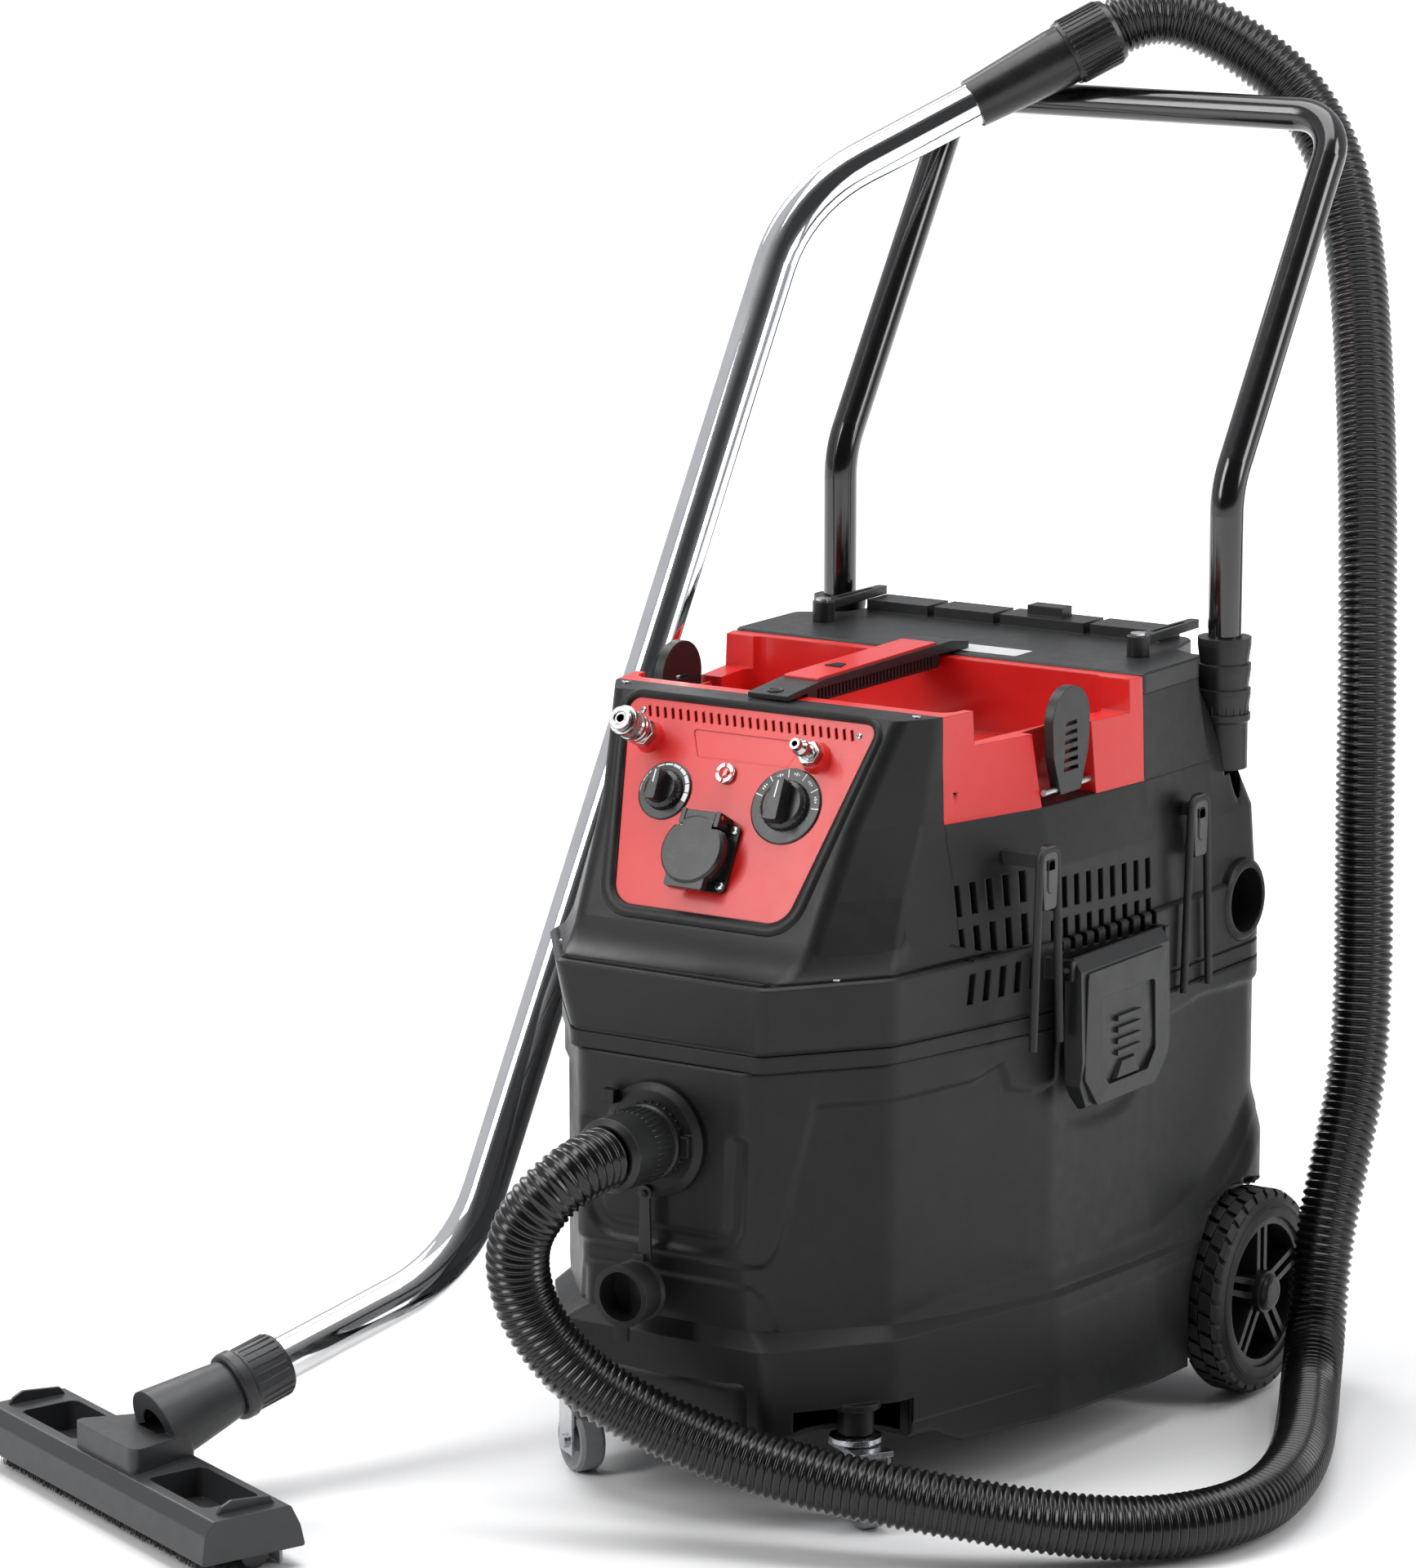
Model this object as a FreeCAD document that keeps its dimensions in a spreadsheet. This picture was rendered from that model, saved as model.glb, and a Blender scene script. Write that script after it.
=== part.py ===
"""Wet and dry shop vacuum, built as separate parts in one parametric document.

Millimetres, +Z up, the front with the control panel faces -Y, and +X is the side
of the exhaust port.  The design frame has x = 0 on the machine's centre plane and
z = 0 on the floor; the whole model is moved at the end so that the origin is at
the bottom centre of everything but the hose.
"""
import FreeCAD, Part
import math
import os
from FreeCAD import Placement, Rotation, Vector as V

DOC = FreeCAD.newDocument("shop_vacuum")
SHEET = DOC.addObject("Spreadsheet::Sheet", "dims")
DIMENSIONS = {
    "floor_clearance": 58, "seam_height": 365, "head_height": 604, "ledge_height": 420,
    "tray_base": 522, "wall": 4, "seal_thick": 3, "panel_slope": 28, "panel_thick": 3,
    "wheel_radius": 83, "wheel_width": 38, "wheel_face": 231, "hub_y": 469,
    "axle_radius": 6, "rim_radius": 61, "pin_gap": 0.05, "caster_radius": 25,
    "caster_x": 130, "caster_y": 4, "caster_trail": 20, "caster_wheel_width": 20,
    "post_x": 180, "post_y": 471, "post_radius": 13.5, "post_foot": 532,
    "bend_height": 731, "bar_height": 1010, "bar_y": 652, "sleeve_top": 613,
    "sleeve_foot": 508, "sleeve_radius": 21.5, "wand_radius": 18, "hose_radius": 24,
    "inlet_x": -6, "inlet_height": 292, "cuff_radius": 26, "exhaust_height": 402,
    "tube_wall": 1.5, "exhaust_bore": 26, "exhaust_ring": 33, "motor_y": 215, "motor_radius": 62,
    "filter_radius": 72, "filter_length": 150, "tray_front": 96, "tray_rear": 325,
    "tray_floor": 548, "latch_length": 136, "clip_width": 60, "clip_thick": 8,
    "tool_length": 357, "tool_depth": 87, "tool_height": 48, "tool_yaw": -23.5,
}
for row, (alias, value) in enumerate(DIMENSIONS.items(), start=1):
    SHEET.set("A%d" % row, alias)
    SHEET.set("B%d" % row, str(value))
    SHEET.setAlias("B%d" % row, alias)
DOC.recompute()
SUBPARTS = {}
FASTENERS = []
X, Y, Z = V(1, 0, 0), V(0, 1, 0), V(0, 0, 1)
SIDES = {"left": -1, "right": 1}


def dim(alias):
    """A driving dimension, read back from the sheet."""
    return float(getattr(SHEET, alias))


def frame(at, z_axis=Z, x_axis=None):
    """Placement at a point with the local Z along z_axis and X near x_axis."""
    z_axis = V(z_axis).normalize()
    x_axis = V(x_axis) if x_axis else (X if abs(z_axis.x) < 0.9 else Y)
    return Placement(V(at), Rotation(x_axis, V(0, 0, 0), z_axis, "ZXY"))


def size(obj, prop, value):
    """Set a size, as an expression on the sheet when it is given as words."""
    if isinstance(value, str):
        words = ["dims." + word if word in DIMENSIONS else word for word in value.split()]
        obj.setExpression(prop, " ".join(words))
    else:
        setattr(obj, prop, value)


def box(low, high):
    """Block between two corners."""
    made = DOC.addObject("Part::Box", "block")
    made.Length, made.Width, made.Height = (high[i] - low[i] for i in range(3))
    made.Placement = Placement(V(low), Rotation())
    return made


def cylinder(radius, height, at, axis=Z):
    """Cylinder that starts at a point and runs along an axis."""
    made = DOC.addObject("Part::Cylinder", "round")
    size(made, "Radius", radius)
    size(made, "Height", height)
    made.Placement = frame(at, axis)
    return made


def outline(points, radii=0.0):
    """Edges of a closed polygon whose corners are rounded by the given radii."""
    count = len(points)
    radii = radii if isinstance(radii, (list, tuple)) else [radii] * count
    points = [V(p[0], p[1], p[2] if len(p) > 2 else 0) for p in points]
    starts, ends, arcs = [], [], []
    for i, corner in enumerate(points):
        back = (points[i - 1] - corner).normalize()
        on = (points[(i + 1) % count] - corner).normalize()
        half = back.getAngle(on) / 2
        reach = radii[i] / math.tan(half)
        starts.append(corner + back * reach)
        ends.append(corner + on * reach)
        toward = (back + on).normalize()
        middle = corner + toward * (radii[i] / math.sin(half) - radii[i])
        arcs.append(Part.Arc(starts[i], middle, ends[i]) if radii[i] else None)
    edges = []
    for i in range(count):
        if arcs[i]:
            edges.append(arcs[i])
        edges.append(Part.LineSegment(ends[i], starts[(i + 1) % count]))
    return edges


def sketch_in(body, edges):
    """Sketch on the body's own XY plane."""
    sketch = body.newObject("Sketcher::SketchObject", "profile")
    plane = [f for f in body.Origin.OriginFeatures if f.Role == "XY_Plane"][0]
    sketch.AttachmentSupport = [(plane, "")]
    sketch.MapMode = "FlatFace"
    for edge in edges:
        sketch.addGeometry(edge)
    return sketch


def extruded(edges, length, at=(0, 0, 0), z_axis=Z, x_axis=None, bevel=0):
    """Body padded from a sketch, placed with its sketch plane at a point."""
    body = DOC.addObject("PartDesign::Body", "plate")
    pad = body.newObject("PartDesign::Pad", "pad")
    pad.Profile = sketch_in(body, edges)
    size(pad, "Length", length)
    if bevel:
        DOC.recompute()
        tip = len(pad.Shape.Faces)
        top = max(range(tip), key=lambda i: pad.Shape.Faces[i].CenterOfMass.z)
        soft = body.newObject("PartDesign::Chamfer", "bevel")
        soft.Base = (pad, ["Face%d" % (top + 1)])
        soft.Size = bevel
        body.Tip = soft
    body.Placement = frame(at, z_axis, x_axis)
    return body


def turned(profile, at=(0, 0, 0), axis=Z):
    """Body revolved from (radius, height) points about its local Z axis."""
    body = DOC.addObject("PartDesign::Body", "turning")
    sketch = body.newObject("Sketcher::SketchObject", "profile")
    plane = [f for f in body.Origin.OriginFeatures if f.Role == "XZ_Plane"][0]
    sketch.AttachmentSupport = [(plane, "")]
    sketch.MapMode = "FlatFace"
    points = [V(r, z, 0) for r, z in profile]
    for i, point in enumerate(points):
        sketch.addGeometry(Part.LineSegment(point, points[(i + 1) % len(points)]))
    turn = body.newObject("PartDesign::Revolution", "turn")
    turn.Profile = sketch
    turn.ReferenceAxis = (sketch, ["V_Axis"])
    turn.Angle = 360
    body.Placement = frame(at, axis)
    return body


def fuse(*pieces):
    """One solid, or one group, of several pieces."""
    if len(pieces) == 1:
        return pieces[0]
    made = DOC.addObject("Part::MultiFuse", "joined")
    made.Shapes = list(pieces)
    return made


def cut(base, *tools):
    """Base with every tool taken out of it."""
    made = DOC.addObject("Part::Cut", "cut")
    made.Base = base
    made.Tool = fuse(*tools)
    return made


def common(base, tool):
    """What two pieces share."""
    made = DOC.addObject("Part::Common", "shared")
    made.Base, made.Tool = base, tool
    return made


def free_form(shape):
    """Object around a shape that was made with lofts or sweeps."""
    made = DOC.addObject("Part::Feature", "form")
    made.Shape = shape
    return made


def keep(name, piece):
    """Name a finished sub-part; its label is the name of its file."""
    piece.Label = name
    SUBPARTS[name] = piece
    return piece


def mirrored(half, height):
    """Closed outline of a half outline given on the +X side, front to rear."""
    right = [(x, y, height) for x, y in half]
    return right + [(-x, y, height) for x, y in reversed(half)]


def inset(half, by):
    """Half outline moved in by a wall thickness."""
    middle = sum(y for _, y in half) / len(half)
    return [(x - by, y + (by if y < middle - 60 else -by if y > middle + 60 else 0)) for x, y in half]


def loft(sections, radii):
    """Solid through half outlines at rising heights."""
    wires = []
    for height, half in sections:
        edges = outline(mirrored(half, height), radii + radii[::-1])
        wires.append(Part.Wire([e.toShape() for e in edges]))
    return Part.makeLoft(wires, True, True)


def swept(points, radii, radius):
    """Round bar along straight runs joined by tangent arcs."""
    points = [V(p) for p in points]
    edges, last = [], points[0]
    for i in range(1, len(points) - 1):
        back = (points[i - 1] - points[i]).normalize()
        on = (points[i + 1] - points[i]).normalize()
        half = back.getAngle(on) / 2
        reach = radii[i - 1] / math.tan(half)
        first, final = points[i] + back * reach, points[i] + on * reach
        deep = points[i] + (back + on).normalize() * (radii[i - 1] / math.sin(half) - radii[i - 1])
        edges.append(Part.LineSegment(last, first).toShape())
        edges.append(Part.Arc(first, deep, final).toShape())
        last = final
    edges.append(Part.LineSegment(last, points[-1]).toShape())
    path = Part.Wire(edges)
    circle = Part.Circle(points[0], points[1] - points[0], radius).toShape()
    solid = path.makePipeShell([Part.Wire(circle)], True, True)
    return solid


def pipe(points, radii, radius, wall):
    """Bent tube of one wall thickness."""
    return swept(points, radii, radius).cut(swept(points, radii, radius - wall))


# ---------------------------------------------------------------- shared planes
SEAM = dim("seam_height")
HEAD_FOOT = SEAM + dim("seal_thick")
LEDGE = dim("ledge_height")
TOP = dim("head_height")
BASE = dim("tray_base")
SLOPE = math.radians(dim("panel_slope"))
PANEL_OUT = V(0, -math.cos(SLOPE), math.sin(SLOPE))
PANEL_UP = V(0, math.sin(SLOPE), math.cos(SLOPE))
PANEL_CENTRE = V(0, 28.0, 529.0)
BODY_RADII = [14, 30, 60, 60, 40, 22]
HEAD_RADII = [16, 24, 50, 14, 14, 14, 12]
SEAM_HALF = [(85, -60), (150, 22), (193, 190), (202, 330), (202, 500), (180, 520)]
WALL_HALF = [(74, -54), (143, 27), (187, 190), (196, 330), (197, 497), (176, 515)]
SKIRT_HALF = [(92, -64), (155, 18), (198, 187), (207, 330), (210, 500), (186, 521)]


def on_panel(across, up, out=0.0):
    """Point on the control panel, measured from its centre."""
    return PANEL_CENTRE + X * across + PANEL_UP * up + PANEL_OUT * out


def panel_front(height):
    """Y of the frame round the panel at a height."""
    frame_proud = 4.0
    centre = on_panel(0, 0, frame_proud)
    return centre.y + (height - centre.z) * math.tan(SLOPE)


# ---------------------------------------------------------------- tank and chassis
def make_tank():
    """Blow-moulded tank with wheel wells, caster corners and the inlet hole."""
    foot = dim("floor_clearance")
    wall = dim("wall")
    outer = loft([(foot, inset(SKIRT_HALF, 8)), (foot + 16, SKIRT_HALF), (140, SKIRT_HALF),
                  (152, WALL_HALF), (346, WALL_HALF), (353, SEAM_HALF), (SEAM, SEAM_HALF)], BODY_RADII)
    inner = inset(WALL_HALF, wall)
    well_top, axle_y = 182, dim("hub_y")
    front_room = free_form(loft([(foot + wall, inner), (well_top + 1, inner)], BODY_RADII))
    front_room = cut(front_room, box((-260, 372, 0), (260, 600, 400)))
    middle_room = box((-172, 360, 112), (172, 505, well_top + 1))
    top_room = free_form(loft([(well_top, inner), (SEAM + 1, inner)], BODY_RADII))
    tools = [fuse(front_room, middle_room, top_room)]
    tools.append(box((-174, 384, foot - 5), (174, 530, 104)))
    for side in SIDES.values():
        well = cylinder("wheel_radius + 8", 60, (side * 186, axle_y, dim("wheel_radius")), X * side)
        tools.append(well)
        tools.append(box((min(side * 186, side * 250), 384, 0), (max(side * 186, side * 250), 560, 84)))
        tools.append(cylinder(50, 36, (side * dim("caster_x"), dim("caster_y") - 6, foot - 2)))
    tools.append(cylinder(30.3, 30, (dim("inlet_x"), -75, dim("inlet_height")), Y))
    tools.append(cylinder("axle_radius", 500, (-250, axle_y, dim("wheel_radius")), X))
    shell = cut(free_form(outer), *tools)
    floors = []
    for side in SIDES.values():
        centre = (side * dim("caster_x"), dim("caster_y"), 94)
        floors.append(common(free_form(loft([(60, inset(WALL_HALF, 1)), (120, inset(WALL_HALF, 1))],
                                            BODY_RADII)), cylinder(54, 5, (centre[0], -2, 93.5))))
        profile = [(8.05, 0), (14, 0), (14, 20), (19, 20), (19, 25), (8.05, 25)]
        floors.append(turned(profile, (side * dim("caster_x"), dim("caster_y"), 69)))
    keep("tank_shell", cut(fuse(shell, *floors), *[
        cylinder(8.05, 30, (s * dim("caster_x"), dim("caster_y"), 80)) for s in SIDES.values()]))


def make_chassis():
    """Rim seal, and the axle with its end caps."""
    ring = loft([(SEAM, inset(SEAM_HALF, 2)), (HEAD_FOOT, inset(SEAM_HALF, 2))], BODY_RADII)
    hole = loft([(SEAM - 1, inset(SEAM_HALF, 9)), (HEAD_FOOT + 1, inset(SEAM_HALF, 9))], BODY_RADII)
    keep("tank_seal", free_form(ring.cut(hole)))
    hub_y, centre_z, face = dim("hub_y"), dim("wheel_radius"), dim("wheel_face")
    axle = cylinder("axle_radius", "2 * wheel_face - 1", (-face + 0.5, hub_y, centre_z), X)
    caps = []
    for side in SIDES.values():
        profile = [(0, 0), (13, 0), (13, 2.5), (10, 4.5), (0, 4.5)]
        caps.append(turned(profile, (side * (face - 0.5), hub_y, centre_z), X * side))
    keep("rear_axle", fuse(axle, *caps))


def make_inlet():
    """Bayonet flange, hose cuff, and the cap that hangs on its strap."""
    x, z = dim("inlet_x"), dim("inlet_height")
    flange = turned([(26.3, -24), (30, -24), (30, 8), (44, 8), (44, 15), (38, 18), (26.3, 18)],
                    (x, -51, z), -Y)
    lugs = [box((x - 41, -75, z + s * 30 - 5), (x - 30, -66, z + s * 30 + 5)) for s in (-1, 1)]
    lugs.append(box((x + 29.6, -75, z - 8), (x + 37, -66, z + 8)))
    pivot = cylinder(2.5, 9.5, (x - 4, -65, z - 41), -Y)
    keep("inlet_flange", cut(fuse(flange, pivot, *lugs), cylinder(26.3, 60, (x, -20, z), -Y)))
    keep("hose_inlet_cuff", turned([
        (22, 0), (25, 0), (26, 22), (26, 37.2), (29, 37.4), (29, 44), (27, 45), (27, 48), (28.5, 50),
        (28.5, 94), (24.2, 98), (22, 98)], (x, -32, z), -Y))
    strap = outline([(-4, 0), (4, 0), (5.5, -51), (-5.5, -51)], 1.5)
    strap = extruded(strap, 2.5, (x - 4, -70, z - 41), -Y, X)
    eye = cylinder(6, 2.5, (x - 4, -70, z - 41), -Y)
    cup = turned([(19, -22), (24, -22), (24, -20), (22, 0), (24, 3), (0, 3), (0, 0), (19.5, 0)],
                 (x - 8, -77, 176), Y)
    tab = box((x - 14, -99, 142), (x - 2, -95.5, 156))
    top_tab = box((x - 12, -76, 194), (x - 3, -70, 204))
    keep("inlet_cap", cut(fuse(strap, eye, cup, tab, top_tab), cylinder(2.6, 12, (x - 4, -64, z - 41), -Y)))


def make_wheels():
    """Spoked rear wheels with their tyres."""
    hub_y, centre_z = dim("hub_y"), dim("wheel_radius")
    width, rim, face = dim("wheel_width"), dim("rim_radius"), dim("wheel_face")
    bore = dim("axle_radius") + dim("pin_gap")
    for name, side in SIDES.items():
        start = (side * (face - width - 0.8), hub_y, centre_z)
        hoop = turned([(rim - 6, 3), (rim, 3), (rim, width - 3), (rim - 6, width - 3)], start, X * side)
        hub = turned([(bore, 0), (17, 0), (17, width - 0.4), (bore, width - 0.4)], start, X * side)
        web = turned([(15, 8), (rim - 4, 8), (rim - 4, 13), (15, 13)], start, X * side)
        spokes = []
        for turn in range(5):
            for shift in (-5.5, 5.5):
                bar = box((0, shift - 2.5, 14), (rim - 3, shift + 2.5, width - 6))
                spin = Placement(V(0, 0, 0), Rotation(Z, 72 * turn + 18))
                bar.Placement = frame(start, X * side).multiply(spin).multiply(bar.Placement)
                spokes.append(bar)
        wheel = cut(fuse(hoop, hub, web, *spokes), cylinder(bore, 60, (side * 180, hub_y, centre_z), X * side))
        keep("wheel_rim_" + name, wheel)
        tyre = [(rim, 0), (70, 0), (78, 2), (83, 8), (83, width - 8), (78, width - 2), (70, width), (rim, width)]
        keep("wheel_tyre_" + name, turned(tyre, start, X * side))


def make_casters():
    """Swivel forks with their kingpins, axle bolts and small wheels."""
    radius, width = dim("caster_radius"), dim("caster_wheel_width")
    for name, side in SIDES.items():
        x, y = side * dim("caster_x"), dim("caster_y")
        wheel_x, wheel_y = x + 17, y - 10.5
        roll = V(0.53, 0.848, 0)
        ring = turned([(0, 0), (16, 0), (20, 2), (20, 6), (8, 8), (8, 27), (0, 27)], (x, y, 60.5))
        run = V(roll.y, -roll.x, 0)
        plate = box((-16, -15, 57), (34, 15, 61))
        arms = [box((8, s * 12.6 - 1.2, 16), (32, s * 12.6 + 1.2, 58)) for s in (-1, 1)]
        for piece in [plate] + arms:
            piece.Placement = frame((x, y, 0), Z, run).multiply(piece.Placement)
        bolt = V(wheel_x, wheel_y, radius) - roll * 15.5
        nut = turned([(0, -3), (5.5, -3), (5.5, 0), (3, 0), (3, 28), (5.5, 28), (5.5, 31), (0, 31)],
                     bolt + roll * 1.5, roll)
        keep("caster_fork_" + name, fuse(ring, plate, *arms, nut))
        start = V(wheel_x, wheel_y, radius) - roll * (width / 2)
        keep("caster_wheel_" + name, turned(
            [(3.05, 0), (9, 0), (10, 3), (18, 3), (20, 0), (23, 0), (25, 3), (25, width - 3), (23, width),
             (20, width), (18, width - 3), (10, width - 3), (9, width), (3.05, width)], start, roll))


# ---------------------------------------------------------------- head
def head_sections():
    """Half outlines of the upper head, from the ledge to the top."""
    return [
        (LEDGE, [(104, panel_front(LEDGE)), (147, 26), (187, 188), (197, 330), (198, 430), (198, 498), (176, 514)]),
        (475, [(108, panel_front(475)), (144, 50), (185, 190), (195, 330), (196, 430), (195, 496), (172, 512)]),
        (525, [(112, panel_front(525)), (142, 76), (176, 188), (191, 328), (192, 425), (186, 470), (164, 505)]),
        (TOP, [(128, panel_front(TOP)), (146, 92), (163, 190), (188, 322), (187, 415), (156, 436), (146, 500)]),
    ]


def head_forms():
    """Outer and inner volume of the upper head."""
    outer = loft(head_sections(), HEAD_RADII)
    inner_sections = [(h, inset(half, dim("wall"))) for h, half in head_sections()]
    return outer, loft(inner_sections, HEAD_RADII)


def vent_slots():
    """Cutters for the two side grilles on each side."""
    slots = []
    for side in SIDES.values():
        low, high = sorted((side * 140, side * 215))
        for row in range(2):
            for column in range(9):
                y, z = 194 + column * 16.3, 455 - row * 32 - column * 0.7
                slots.append(box((low, y - 3.4, z - 12), (high, y + 3.4, z + 12)))
        for row in range(3):
            for column in range(5):
                y, z = 98 + column * 16.3, 464 - row * 33 + column * 0.5
                slots.append(box((low, y - 3.4, z - 12), (high, y + 3.4, z + 12)))
    return slots


def make_head():
    """Lower shell, front frame, tray and rear housing, cut from one outer form."""
    wall = dim("wall")
    band = loft([(HEAD_FOOT, SEAM_HALF), (LEDGE - 2, [(93, -68), (156, 15), (194, 186), (202, 330),
                 (202, 500), (180, 520)]), (LEDGE, [(91, -66), (154, 17), (192, 188), (200, 330),
                 (200, 498), (178, 518)])], BODY_RADII)
    band_room = loft([(HEAD_FOOT - 1, inset(SEAM_HALF, wall)), (LEDGE - 3, inset(SEAM_HALF, wall))], BODY_RADII)
    outer, inner = head_forms()
    front, rear = dim("tray_front"), dim("tray_rear")
    post_holes = [cylinder("sleeve_radius", 180, (s * dim("post_x"), dim("post_y"), 505)) for s in SIDES.values()]
    everything_up = box((-260, -120, BASE), (260, 600, 700))
    front_block = box((-260, -120, LEDGE), (260, front, 700))
    plain = outer.fuse(band)
    room = inner.cut(Part.makeBox(600, 800, 200, V(-300, -150, BASE - wall)))
    ledge_half = inset(head_sections()[0][1], wall)
    room = room.fuse([band_room, loft([(LEDGE - 5, ledge_half), (LEDGE + 1, ledge_half)], HEAD_RADII)])
    port = cylinder("exhaust_ring", 80, (150, dim("post_y"), dim("exhaust_height")), X)
    slide_room = [cylinder("post_radius + 0.5", 80, (s * dim("post_x"), dim("post_y"), 430)) for s in SIDES.values()]
    shell = cut(free_form(plain), everything_up, front_block, free_form(room), port, *post_holes, *slide_room,
                *vent_slots())
    keep("head_shell", fuse(shell, make_latches()))
    make_front_frame(outer, inner)
    make_tray(outer)
    make_rear(outer, inner, post_holes)


def panel_outline(grow=0.0):
    """Rounded trapezoid of the control panel in panel coordinates."""
    points = [(-76 - grow, -84 - grow), (76 + grow, -84 - grow), (112 + grow, 78 + grow), (-112 - grow, 78 + grow)]
    return outline(points, [20, 20, 9, 9])


def make_front_frame(outer, inner):
    """Black frame round the control panel."""
    front = dim("tray_front")
    solid = common(free_form(outer), box((-260, -120, LEDGE), (260, front, 700)))
    room = inner.common(Part.makeBox(520, 400, TOP - LEDGE - 4, V(-260, -300 + front + 1, LEDGE - 1)))
    pocket = extruded(panel_outline(0.3), 20, on_panel(0, 0, 0), PANEL_OUT, X)
    window = extruded(panel_outline(-6), 60, on_panel(0, 0, -30), PANEL_OUT, X)
    keep("front_frame", cut(solid, free_form(room), pocket, window))


def make_tray(outer):
    """Red tool tray with a deep basin, lower side rims and notches for the clips."""
    front, rear, floor = dim("tray_front"), dim("tray_rear"), dim("tray_floor")
    solid = common(free_form(outer), box((-260, front, BASE), (260, rear, TOP)))
    basin = [(-142, front + 14), (142, front + 14), (166, rear - 12), (-166, rear - 12)]
    tools = [extruded(outline(basin, 14), 100, (0, 0, floor))]
    for side in SIDES.values():
        low, high = sorted((side * 120, side * 230))
        tools.append(box((low, front + 34, 578), (high, rear - 16, TOP + 5)))
        low, high = sorted((side * 158, side * 230))
        tools.append(box((low, 192, BASE - 2), (high, 262, TOP + 5)))
    hollow = [(-150, front + 4), (150, front + 4), (170, rear - 4), (-170, rear - 4)]
    tools.append(cut(extruded(outline(hollow, 10), floor - 3 - BASE + 1, (0, 0, BASE - 1)),
                     box((-200, 186, 500), (-154, 268, 600)), box((154, 186, 500), (200, 268, 600))))
    tray = cut(solid, *tools)
    ridge = box((-10, front + 12, floor - 2), (10, rear - 10, floor + 9))
    keep("tool_tray", fuse(tray, ridge))


def make_rear(outer, inner, post_holes):
    """Rear housing, its top deck, sleeves for the push handle and cam levers."""
    rear, deck_foot = dim("tray_rear"), 590
    solid = common(free_form(outer), box((-260, rear, BASE), (260, 600, deck_foot)))
    room = inner.common(Part.makeBox(600, 400, deck_foot - BASE + 8, V(-300, rear + 4, BASE - 4)))
    keep("rear_housing", cut(solid, free_form(room), *post_holes))
    half = [(189, rear + 0.05), (189, 417), (155, 438), (143, 488)]
    plate = extruded(outline([p[:2] for p in mirrored(half, 0)], [6, 12, 12, 14, 14, 12, 12, 6]),
                     TOP + 2 - deck_foot, (0, 0, deck_foot), bevel=1.5)
    inside = extruded(outline([p[:2] for p in mirrored(inset(half, 4), 0)], [6, 12, 12, 14, 14, 12, 12, 6]),
                      TOP - 2 - deck_foot, (0, 0, deck_foot - 1))
    blocks = []
    for low, high in ((-142, -84), (-78, -22), (-16, 62), (68, 132)):
        blocks.append(box((low, 452, TOP + 1), (high, 484, TOP + 11)))
    blocks.append(box((4, 462, TOP + 11), (36, 478, TOP + 19)))
    nests = [cylinder("sleeve_radius", 60, (s * dim("post_x"), dim("post_y"), 580)) for s in SIDES.values()]
    keep("rear_deck", cut(fuse(cut(plate, inside), *blocks), *nests))
    post, top, foot = dim("post_radius"), dim("sleeve_top"), dim("sleeve_foot")
    sleeves = []
    for name, side in SIDES.items():
        ring = dim("sleeve_radius") - 0.1
        slim = ring - 2
        height = top - foot
        steps = [(post + dim("pin_gap"), 0), (slim, 0), (slim, height - 68)]
        for level in (64, 44, 24, 4):
            steps += [(ring, height - level - 2), (ring, height - level + 3), (slim, height - level + 3.5)]
        steps = steps[:-1] + [(ring, height), (post + dim("pin_gap"), height)]
        sleeves.append(turned(steps, (side * dim("post_x"), dim("post_y"), foot)))
        boss = cylinder(9, 15.7, (side * 146, 392, TOP + 2.3))
        arm = extruded(outline([(-7, 0), (7, 0), (4.5, 92), (-4.5, 92)], 3), 6.5, (side * 146, 392, TOP + 11.5))
        slot = extruded(outline([(-2, 22), (2, 22), (1.6, 74), (-1.6, 74)], 1), 12, (side * 146, 392, TOP + 9))
        bolt_hole = cylinder(3.05, 40, (side * 146, 392, TOP - 5))
        keep("cam_lever_" + name, cut(fuse(boss, arm), slot, bolt_hole))
    keep("handle_sleeves", fuse(*sleeves))


def make_push_handle():
    """Bent tube that slides in its two sleeves."""
    x, y, bend = dim("post_x"), dim("post_y"), dim("bend_height")
    top, back = dim("bar_height"), dim("bar_y")
    route = [(-x, y, dim("post_foot")), (-x, y, bend), (-x, back, top), (x, back, top), (x, y, bend),
             (x, y, dim("post_foot"))]
    keep("push_handle", free_form(pipe(route, [70, 38, 38, 70], dim("post_radius"), dim("tube_wall"))))


def make_carry_handle():
    """Carrying handle over the tray: black bar, red cover and its two screws."""
    front, rear = dim("tray_front"), dim("tray_rear")
    sides = outline([(front - 14, TOP + 0.5), (front + 26, TOP + 4), (rear - 26, TOP + 4), (rear + 22, TOP + 2.5),
                     (rear + 22, TOP + 8), (rear - 4, TOP + 12), (front + 40, TOP + 10), (front - 14, TOP + 5)], 0.8)
    bar = extruded(sides, 36, (-18, 0, 0), X, Y)
    grip = extruded(outline([(front + 30, TOP - 8), (rear - 14, TOP - 8), (rear - 14, TOP + 5), (front + 30, TOP + 5)],
                            3), 26, (-13, 0, 0), X, Y)
    feet = box((-18, front + 14, TOP - 12), (18, front + 27, TOP + 4.5))
    slope_cut = [(front + 32, TOP + 7), (rear - 22, TOP + 7), (rear - 22, TOP + 30), (front + 32, TOP + 30)]
    nest = extruded(outline(slope_cut, 0.5), 32, (-16, 0, 0), X, Y)
    keep("carry_handle", cut(fuse(bar, grip, feet), nest))
    cover = outline([(front + 33, TOP + 7), (rear - 23, TOP + 7), (rear - 23, TOP + 13.5), (front + 33, TOP + 11.5)], 1)
    keep("carry_handle_cover", extruded(cover, 31, (-15.5, 0, 0), X, Y))


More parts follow.
